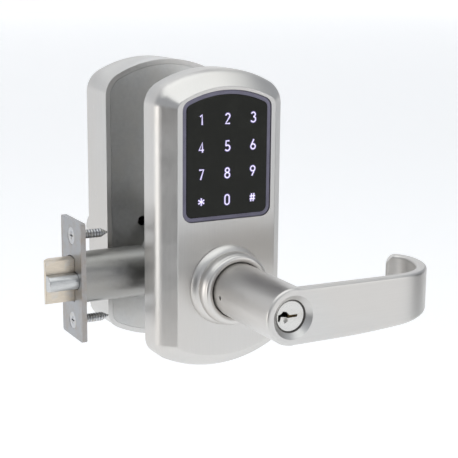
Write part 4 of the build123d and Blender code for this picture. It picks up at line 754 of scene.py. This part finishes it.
def stroke_line(steps):
    """The points of one stroke, with its arcs divided finely."""
    points = []
    for step in steps:
        if step[0] != "arc":
            points.append(step)
            continue
        _, x, z, radius, start, end = step
        count = max(6, int(abs(end - start) / ARC_STEP))
        for index in range(count + 1):
            angle = math.radians(start + (end - start) * index / count)
            points.append((x + radius * math.cos(angle), z + radius * math.sin(angle)))
    return points


def sign_mesh(name, half_width, flatness):
    """All twelve signs as one mesh of flattened round strokes."""
    signs = bpy.context.scene.lock_signs
    curve = bpy.data.curves.new(name, "CURVE")
    curve.dimensions = "3D"
    curve.bevel_depth = half_width
    curve.bevel_resolution = 4
    curve.use_fill_caps = True
    for row, names in enumerate(KEY_ROWS):
        for column, key in enumerate(names):
            centre_x = (column - 1) * signs.column_pitch
            centre_z = signs.top_row - row * signs.row_pitch
            for steps in SIGN_STROKES[key]:
                points = stroke_line(steps)
                spline = curve.splines.new("POLY")
                spline.points.add(len(points) - 1)
                for point, (x, z) in zip(spline.points, points):
                    across, up = x * MILLIMETRE, z * MILLIMETRE
                    point.co = (centre_x + across, 0.0, centre_z + up, 1.0)
    holder = stand(name, curve)
    bpy.context.view_layer.update()
    shown = holder.evaluated_get(bpy.context.evaluated_depsgraph_get())
    mesh = bpy.data.meshes.new_from_object(shown)
    bpy.data.objects.remove(holder)
    for vertex in mesh.vertices:
        vertex.co.y = GLASS_FRONT + vertex.co.y * flatness
    for polygon in mesh.polygons:
        polygon.use_smooth = True
    return stand(name, mesh)


def lit_sign(name, light, other, strength, share):
    """Light through the glass, mixed in places with up to a share of another colour."""
    finish = Finish(name, Roughness=0.3, Emission_Strength=strength)
    place = finish.place()
    spread = finish.noise(place, 1.1, 2.0)
    mixed = finish.band(spread, 0.3, 0.7, 0.0, share)
    finish.paint(
        Emission_Color=finish.blend(mixed, shade(light), shade(other)),
        Base_Color=finish.blend(spread, (0.02, 0.02, 0.02, 1), (0.05, 0.04, 0.06, 1)),
    )
    return finish.material


def rim_mesh(name, middle_y, middle_z):
    """A small rounded rim round the pin hole in a lever's hub."""
    mesh = bmesh.new()
    loops = []
    for step in range(RIM_STEPS):
        angle = 2 * math.pi * step / RIM_STEPS
        loop = []
        for side in range(RIM_SIDES):
            about = 2 * math.pi * side / RIM_SIDES
            reach = RIM_RADIUS + RIM_THICKNESS * math.cos(about)
            y = middle_y + reach * math.sin(angle)
            z = middle_z + reach * math.cos(angle)
            # The hub is round, so the rim falls back with it above and below the hole.
            hub = (HUB_RADIUS**2 - z**2) ** 0.5
            proud = RIM_FLATNESS * RIM_THICKNESS * math.sin(about)
            loop.append(mesh.verts.new((-hub - proud, y, z)))
        loops.append(loop)
    skin(mesh, loops + loops[:1], closed=True)
    return modelled(name, mesh)


def ridge_mesh(name, centre):
    """One low rounded ridge that stands out towards +Y, its ends drawn down."""
    mesh = bmesh.new()
    rows = []
    for step in range(RIDGE_STEPS + 1):
        share = 2 * step / RIDGE_STEPS - 1
        swell = (1 - share**8) ** 0.5
        row = []
        for side in range(RIDGE_SIDES + 1):
            angle = math.pi * side / RIDGE_SIDES
            x = centre[0] + share * RIDGE_LENGTH / 2
            y = centre[1] + RIDGE_HEIGHT * swell * math.sin(angle)
            z = centre[2] + RIDGE_WIDTH / 2 * max(swell, 0.2) * math.cos(angle)
            row.append(mesh.verts.new((x, y, z)))
        rows.append(row)
    skin(mesh, rows, closed=False)
    return modelled(name, mesh)


def coil_mesh(name, low, high, coils, wire):
    """A helical spring along X that fills a box, its wire closed at both ends."""
    mesh = bmesh.new()
    middle_y, middle_z = (low[1] + high[1]) / 2, (low[2] + high[2]) / 2
    radius = (high[1] - low[1]) / 2 - wire
    length = high[0] - low[0] - 2 * wire
    count = round(coils * COIL_STEPS)
    level = Vector((1.0, 0.0, 0.0))
    rings = []
    for step in range(count + 1):
        angle = 2 * math.pi * step / COIL_STEPS
        outward = Vector((0.0, math.cos(angle), math.sin(angle)))
        centre = Vector((low[0] + wire + length * step / count, middle_y, middle_z))
        centre += radius * outward
        ring = []
        for side in range(WIRE_SIDES):
            about = 2 * math.pi * side / WIRE_SIDES
            offset = math.cos(about) * outward + math.sin(about) * level
            ring.append(mesh.verts.new(centre + wire * offset))
        rings.append(ring)
    skin(mesh, rings, closed=True)
    mesh.faces.new(rings[0])
    mesh.faces.new(rings[-1])
    return modelled(name, mesh)


# --- operators ------------------------------------------------------------------------------


class LOCK_OT_finish_trims(bpy.types.Operator):
    """Brush the outside trim, the inside housing and the battery cover"""

    bl_idname = "lock.finish_trims"
    bl_label = "Finish trims"

    def execute(self, context):
        nickel = nickel_plate("trim_nickel", upright_grain, spread=0.75)
        coat_nodes(nickel, "outside_escutcheon", "inside_housing", "battery_cover")
        return {"FINISHED"}


class LOCK_OT_finish_levers(bpy.types.Operator):
    """Brush the levers along their grips and turn the collars"""

    bl_idname = "lock.finish_levers"
    bl_label = "Finish levers"

    def execute(self, context):
        lever = nickel_plate("lever_nickel", level_grain, tint=1.02, rough=0.06)
        coat_nodes(lever, "outside_lever", "inside_lever")
        collar = nickel_plate("collar_nickel", turned_grain, tint=1.03, rough=0.03, etch=0.5)
        coat_nodes(collar, "outside_collar", "inside_collar")
        return {"FINISHED"}


class LOCK_OT_finish_keypad(bpy.types.Operator):
    """Glaze the keypad and finish the pieces behind it"""

    bl_idname = "lock.finish_keypad"
    bl_label = "Finish keypad"

    def execute(self, context):
        coat_nodes(key_glass("key_glass"), "keypad_lens")
        coat_nodes(border_plastic("border_plastic"), "keypad_frame")
        coat_nodes(moulded_plastic("light_guide_plastic", (0.78, 0.78, 0.75)), "light_guide")
        module = moulded_plastic("module_plastic", (0.022, 0.022, 0.024))
        coat_nodes(module, "keypad_cover", "buzzer")
        coat_nodes(lamp_resin("lamp_resin"), "key_leds")
        coat_nodes(soft_rubber("seal_rubber"), "keypad_seal", "weather_seal")
        return {"FINISHED"}


class LOCK_OT_make_signs(bpy.types.Operator):
    """Make the lit signs of the twelve keys and the glow round them"""

    bl_idname = "lock.make_signs"
    bl_label = "Make key signs"

    def execute(self, context):
        signs = context.scene.lock_signs
        half = signs.stroke / 2
        wide = half * GLOW_WIDTH
        core = sign_mesh("key_signs", half, signs.proud / half)
        core.data.materials.append(
            lit_sign("sign_light", signs.light, signs.halo, signs.strength, 0.12)
        )
        glow = sign_mesh("key_glow", wide, signs.proud * GLOW_PROUD / wide)
        glow.data.materials.append(
            lit_sign("sign_halo", signs.halo, signs.light, signs.strength * GLOW_STRENGTH, 0.1)
        )
        for piece in (core, glow):
            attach(piece, "lock_body")
        return {"FINISHED"}


class LOCK_OT_make_release_rims(bpy.types.Operator):
    """Burnish a rim round the pin hole in each lever's hub"""

    bl_idname = "lock.make_release_rims"
    bl_label = "Make release rims"

    def execute(self, context):
        metal = nickel_plate("rim_nickel", upright_grain, tint=1.15, rough=-0.1)
        for body in ("outside", "inside"):
            low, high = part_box(body + "_catch")
            middle_y, middle_z = (low[1] + high[1]) / 2, (low[2] + high[2]) / 2
            rim = rim_mesh(body + "_release_rim", middle_y, middle_z)
            rim.data.materials.append(metal)
            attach(rim, body + "_lever")
        return {"FINISHED"}


class LOCK_OT_finish_cylinder(bpy.types.Operator):
    """Finish the key cylinder and its pins"""

    bl_idname = "lock.finish_cylinder"
    bl_label = "Finish cylinder"

    def execute(self, context):
        coat_nodes(machined_brass("machined_brass"), "key_pins", "driver_pins")
        # The shell shows only as a thin ring round the plug's face; its near-black colour is
        # painted shade for the gap there.
        shell = turned_steel("shell_painted_shade", (0.13, 0.125, 0.12), 0.42, spots=0.1)
        coat_nodes(shell, "cylinder_shell")
        coat_nodes(plug_face("plug_nickel"), "cylinder_plug")
        return {"FINISHED"}


class LOCK_OT_finish_latch(bpy.types.Operator):
    """Finish the faceplate, the bolt and its plunger"""

    bl_idname = "lock.finish_latch"
    bl_label = "Finish latch"

    def execute(self, context):
        coat_nodes(scratched_steel("faceplate_steel"), "latch_faceplate")
        coat_nodes(bolt_metal("bolt_metal", finishes().latch), "latch_bolt")
        coat_nodes(bolt_metal("plunger_metal", (0.57, 0.575, 0.575)), "latch_plunger")
        return {"FINISHED"}


class LOCK_OT_finish_chassis(bpy.types.Operator):
    """Finish the pressed and turned steel of the chassis"""

    bl_idname = "lock.finish_chassis"
    bl_label = "Finish chassis"

    def execute(self, context):
        coat_nodes(
            pressed_steel("zinc_steel", (0.58, 0.58, 0.575)),
            "outside_back_plate", "inside_mounting_plate", "chassis_housing", "chassis_cap",
            "retractor", "latch_tail",
        )
        coat_nodes(pressed_steel("barrel_steel", (0.33, 0.325, 0.315)), "latch_barrel")
        coat_nodes(
            turned_steel("bearing_steel", (0.56, 0.56, 0.55), 0.3),
            "outside_bearing_tube", "inside_bearing_tube", "drive_cam", "threaded_posts",
        )
        coat_nodes(
            turned_steel("spindle_steel", (0.48, 0.48, 0.48), 0.26, spots=0.1),
            "outside_spindle", "inside_spindle", "tailpiece", "clutch_pin",
        )
        # The catch is seen at the foot of the pin hole in each lever's hub; its near-black brown
        # colour is painted shade for the hole.
        catch = turned_steel("catch_painted_shade", (0.045, 0.029, 0.017), 0.6, spots=0.4)
        coat_nodes(catch, "outside_catch", "inside_catch")
        coat_nodes(moulded_plastic("actuator_plastic", (0.03, 0.05, 0.12)), "clutch_actuator")
        return {"FINISHED"}


class LOCK_OT_finish_fasteners(bpy.types.Operator):
    """Thread the screws and darken the springs and contacts"""

    bl_idname = "lock.finish_fasteners"
    bl_label = "Finish fasteners"

    def execute(self, context):
        coat_nodes(
            threaded_steel("machine_screw", 0.7),
            "through_bolts", "outside_trim_screws", "housing_screw", "cover_screw",
        )
        coat_nodes(threaded_steel("wood_screw", 1.4, level=True), "faceplate_screws")
        coat_nodes(
            spring_wire("spring_wire"),
            "outside_return_spring", "inside_return_spring", "pin_springs", "battery_contacts",
        )
        return {"FINISHED"}


class LOCK_OT_make_springs(bpy.types.Operator):
    """Wind the latch's and the retractor's springs"""

    bl_idname = "lock.make_springs"
    bl_label = "Make springs"

    def execute(self, context):
        for node, joint, coils, wire in (
            ("latch_spring", "latch_bolt_slide", 7, 0.00055),
            ("plunger_spring", "latch_plunger_slide", 6, 0.0003),
            ("retractor_springs", "retractor_slide", 6.5, 0.00035),
        ):
            low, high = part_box(node)
            across = high[1] - low[1]
            # A box that is taller than one coil holds two, one at its foot and one at its top.
            alone = high[2] - low[2] < 1.5 * across
            for index, foot in enumerate((low[2],) if alone else (low[2], high[2] - across)):
                piece = coil_mesh(
                    "%s_coil_%d" % (node, index + 1),
                    (low[0], low[1], foot), (high[0], high[1], foot + across), coils, wire,
                )
                piece.data.materials.append(bpy.data.materials["spring_wire"])
                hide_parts(node)
                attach(piece, "lock_body")
                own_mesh(piece)
        return {"FINISHED"}


class LOCK_OT_finish_electronics(bpy.types.Operator):
    """Finish the boards, the battery box and the cells"""

    bl_idname = "lock.finish_electronics"
    bl_label = "Finish electronics"

    def execute(self, context):
        coat_nodes(circuit_board("solder_mask"), "keypad_board", "main_board")
        coat_nodes(chip_plastic("chip_plastic"), "keypad_chips", "main_board_parts")
        box = moulded_plastic("battery_box_plastic", (0.02, 0.02, 0.022), 0.45)
        coat_nodes(box, "battery_holder")
        coat_nodes(cell_sleeve("cell_sleeve"), "battery_cells")
        return {"FINISHED"}


class LOCK_OT_make_cover_grips(bpy.types.Operator):
    """Raise the thumb ridges at the foot of the battery cover"""

    bl_idname = "lock.make_cover_grips"
    bl_label = "Make cover grips"

    def execute(self, context):
        metal = nickel_plate("ridge_nickel", level_grain, tint=1.05, rough=-0.04)
        middle = (COVER_LOW[0] + COVER_HIGH[0]) / 2
        back = COVER_HIGH[1] - RIDGE_SINK
        for index in range(RIDGE_COUNT):
            height = COVER_LOW[2] + RIDGE_FOOT + index * RIDGE_PITCH
            ridge = ridge_mesh("cover_ridge_%d" % (index + 1), (middle, back, height))
            ridge.data.materials.append(metal)
            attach(ridge, "battery_cover")
        return {"FINISHED"}


class LOCK_OT_set_stage(bpy.types.Operator):
    """Lay the floor, hang the lights and stand the camera"""

    bl_idname = "lock.set_stage"
    bl_label = "Set stage"

    def execute(self, context):
        studio = context.scene.lock_studio
        scene = context.scene
        scene.view_settings.view_transform = "Standard"
        middle = studio.wall_height / 2 - studio.floor_drop
        for name, at, facing, depth in (
            ("studio_floor", (0, 0, -studio.floor_drop), (0, 0, 1), STAGE_SPAN),
            ("studio_backdrop", BACKDROP_PLACE, (0, -1, 0), STAGE_SPAN),
            ("studio_left_wall", (-WALL_DISTANCE, 0, middle), (1, 0, 0), studio.wall_height),
            ("studio_right_wall", (WALL_DISTANCE, 0, middle), (-1, 0, 0), studio.wall_height),
            ("studio_near_wall", (0, -WALL_DISTANCE, middle), (0, 1, 0), studio.wall_height),
        ):
            surface = sheet(name, at, facing, STAGE_SPAN, depth)
            surface.data.materials.append(
                paper(name + "_paper", (0.88, 0.88, 0.88), 0.6, studio.paper_glow)
            )
        black = paper("black_paper", (0.03, 0.032, 0.038), 0.9, 0.0)
        for name, at, size in (
            ("left_card", (-0.95, -0.52, -0.17), 0.8),
            ("right_card", (1.1, -0.25, 0.05), 0.7),
        ):
            card = sheet(name, at, [-part for part in at], size, size)
            card.data.materials.append(black)
            card.visible_camera = False
            card.visible_shadow = False
        lamp("top_lamp", (-0.15, -0.15, 1.4), 2.0, studio.top_light, (0.98, 1.0, 0.975))
        lamp("side_lamp", (-1.1, 0.25, -0.05), 0.5, studio.side_light, (1.0, 0.95, 0.89))
        lamp("front_lamp", (0.75, -1.0, 0.35), 0.7, studio.front_light, (1.0, 0.99, 0.97))
        world = bpy.data.worlds.new("studio_room")
        world.use_nodes = True
        room = world.node_tree.nodes["Background"].inputs
        room["Color"].default_value = (0.94, 0.985, 1.05, 1.0)
        room["Strength"].default_value = studio.sky
        scene.world = world
        stand_camera(studio.lens)
        return {"FINISHED"}


def sheet(name, centre, facing, width, depth):
    """A flat sheet of studio paper that faces a direction, its depth as upright as it can be."""
    turn = Vector(facing).to_track_quat("Z", "Y").to_matrix()
    corners = [
        turn @ Vector((x * width / 2, y * depth / 2, 0)) + Vector(centre)
        for x, y in ((-1, -1), (1, -1), (1, 1), (-1, 1))
    ]
    data = bpy.data.meshes.new(name)
    data.from_pydata(corners, [], [(0, 1, 2, 3)])
    return stand(name, data)


def paper(name, colour, rough, glow):
    """Matt paper with a very faint tooth, and a white glow of its own."""
    finish = Finish(name, Emission_Color=(1.0, 1.0, 1.0, 1.0), Emission_Strength=glow)
    tooth = finish.noise(finish.place(), 0.02, 2.0)
    finish.paint(
        Base_Color=finish.tones(tooth, colour, 0.985, 1.0),
        Roughness=finish.band(tooth, 0.3, 0.7, rough, rough + 0.1),
    )
    return finish.material


def lamp(name, at, size, power, colour):
    """A soft square light that looks at the lock's middle."""
    data = bpy.data.lights.new(name, "AREA")
    data.shape = "SQUARE"
    data.size = size
    data.energy = power
    data.color = colour
    holder = stand(name, data)
    holder.location = at
    holder.rotation_euler = (Vector(LAMP_AIM) - Vector(at)).to_track_quat("-Z", "Y").to_euler()


def stand_camera(lens):
    """Stand the camera left of the lock and above it, looking down a little."""
    yaw, pitch, roll = map(math.radians, (CAMERA_YAW, CAMERA_PITCH, CAMERA_ROLL))
    ahead = Vector((math.sin(yaw), math.cos(yaw), 0.0))
    forward = ahead * math.cos(pitch) + Vector((0.0, 0.0, -math.sin(pitch)))
    level = Vector((math.cos(yaw), -math.sin(yaw), 0.0))
    upright = level.cross(forward)
    right = level * math.cos(roll) + upright * math.sin(roll)
    above = upright * math.cos(roll) - level * math.sin(roll)
    data = bpy.data.cameras.new("studio_camera")
    data.sensor_fit = "HORIZONTAL"
    data.sensor_width = 36.0
    data.lens = lens
    data.clip_start = 0.01
    data.clip_end = 100.0
    holder = stand("studio_camera", data)
    turn = Matrix((right, above, -forward)).transposed().to_4x4()
    holder.matrix_world = Matrix.Translation(CAMERA_PLACE) @ turn
    bpy.context.scene.camera = holder


class LOCK_PT_lockset(bpy.types.Panel):
    """Finishes, signs and studio of the lockset"""

    bl_idname = "LOCK_PT_lockset"
    bl_label = "Lockset"
    bl_space_type = "VIEW_3D"
    bl_region_type = "UI"
    bl_category = "Lockset"

    def draw(self, context):
        scene = context.scene
        for group in (scene.lock_finishes, scene.lock_signs, scene.lock_studio):
            box = self.layout.box()
            for name in group.__annotations__:
                box.prop(group, name)
        for operator in OPERATORS:
            self.layout.operator(operator.bl_idname)


OPERATORS = (
    LOCK_OT_finish_trims,
    LOCK_OT_finish_levers,
    LOCK_OT_finish_keypad,
    LOCK_OT_make_signs,
    LOCK_OT_make_release_rims,
    LOCK_OT_finish_cylinder,
    LOCK_OT_finish_latch,
    LOCK_OT_finish_chassis,
    LOCK_OT_finish_fasteners,
    LOCK_OT_make_springs,
    LOCK_OT_finish_electronics,
    LOCK_OT_make_cover_grips,
    LOCK_OT_set_stage,
)
CLASSES = (LockFinishes, LockSigns, LockStudio, *OPERATORS, LOCK_PT_lockset)


def register():
    """Add the classes, and the settings that each scene has."""
    for item in CLASSES:
        bpy.utils.register_class(item)
    bpy.types.Scene.lock_finishes = PointerProperty(type=LockFinishes)
    bpy.types.Scene.lock_signs = PointerProperty(type=LockSigns)
    bpy.types.Scene.lock_studio = PointerProperty(type=LockStudio)


def unregister():
    """Take off what register adds."""
    del bpy.types.Scene.lock_studio
    del bpy.types.Scene.lock_signs
    del bpy.types.Scene.lock_finishes
    for item in reversed(CLASSES):
        bpy.utils.unregister_class(item)


def main():
    """Build the whole scene."""
    register()
    bpy.ops.lock.finish_trims()
    bpy.ops.lock.finish_levers()
    bpy.ops.lock.finish_keypad()
    bpy.ops.lock.make_signs()
    bpy.ops.lock.make_release_rims()
    bpy.ops.lock.finish_cylinder()
    bpy.ops.lock.finish_latch()
    bpy.ops.lock.finish_chassis()
    bpy.ops.lock.finish_fasteners()
    bpy.ops.lock.make_springs()
    bpy.ops.lock.finish_electronics()
    bpy.ops.lock.make_cover_grips()
    bpy.ops.lock.set_stage()


if __name__ == "__main__":
    main()
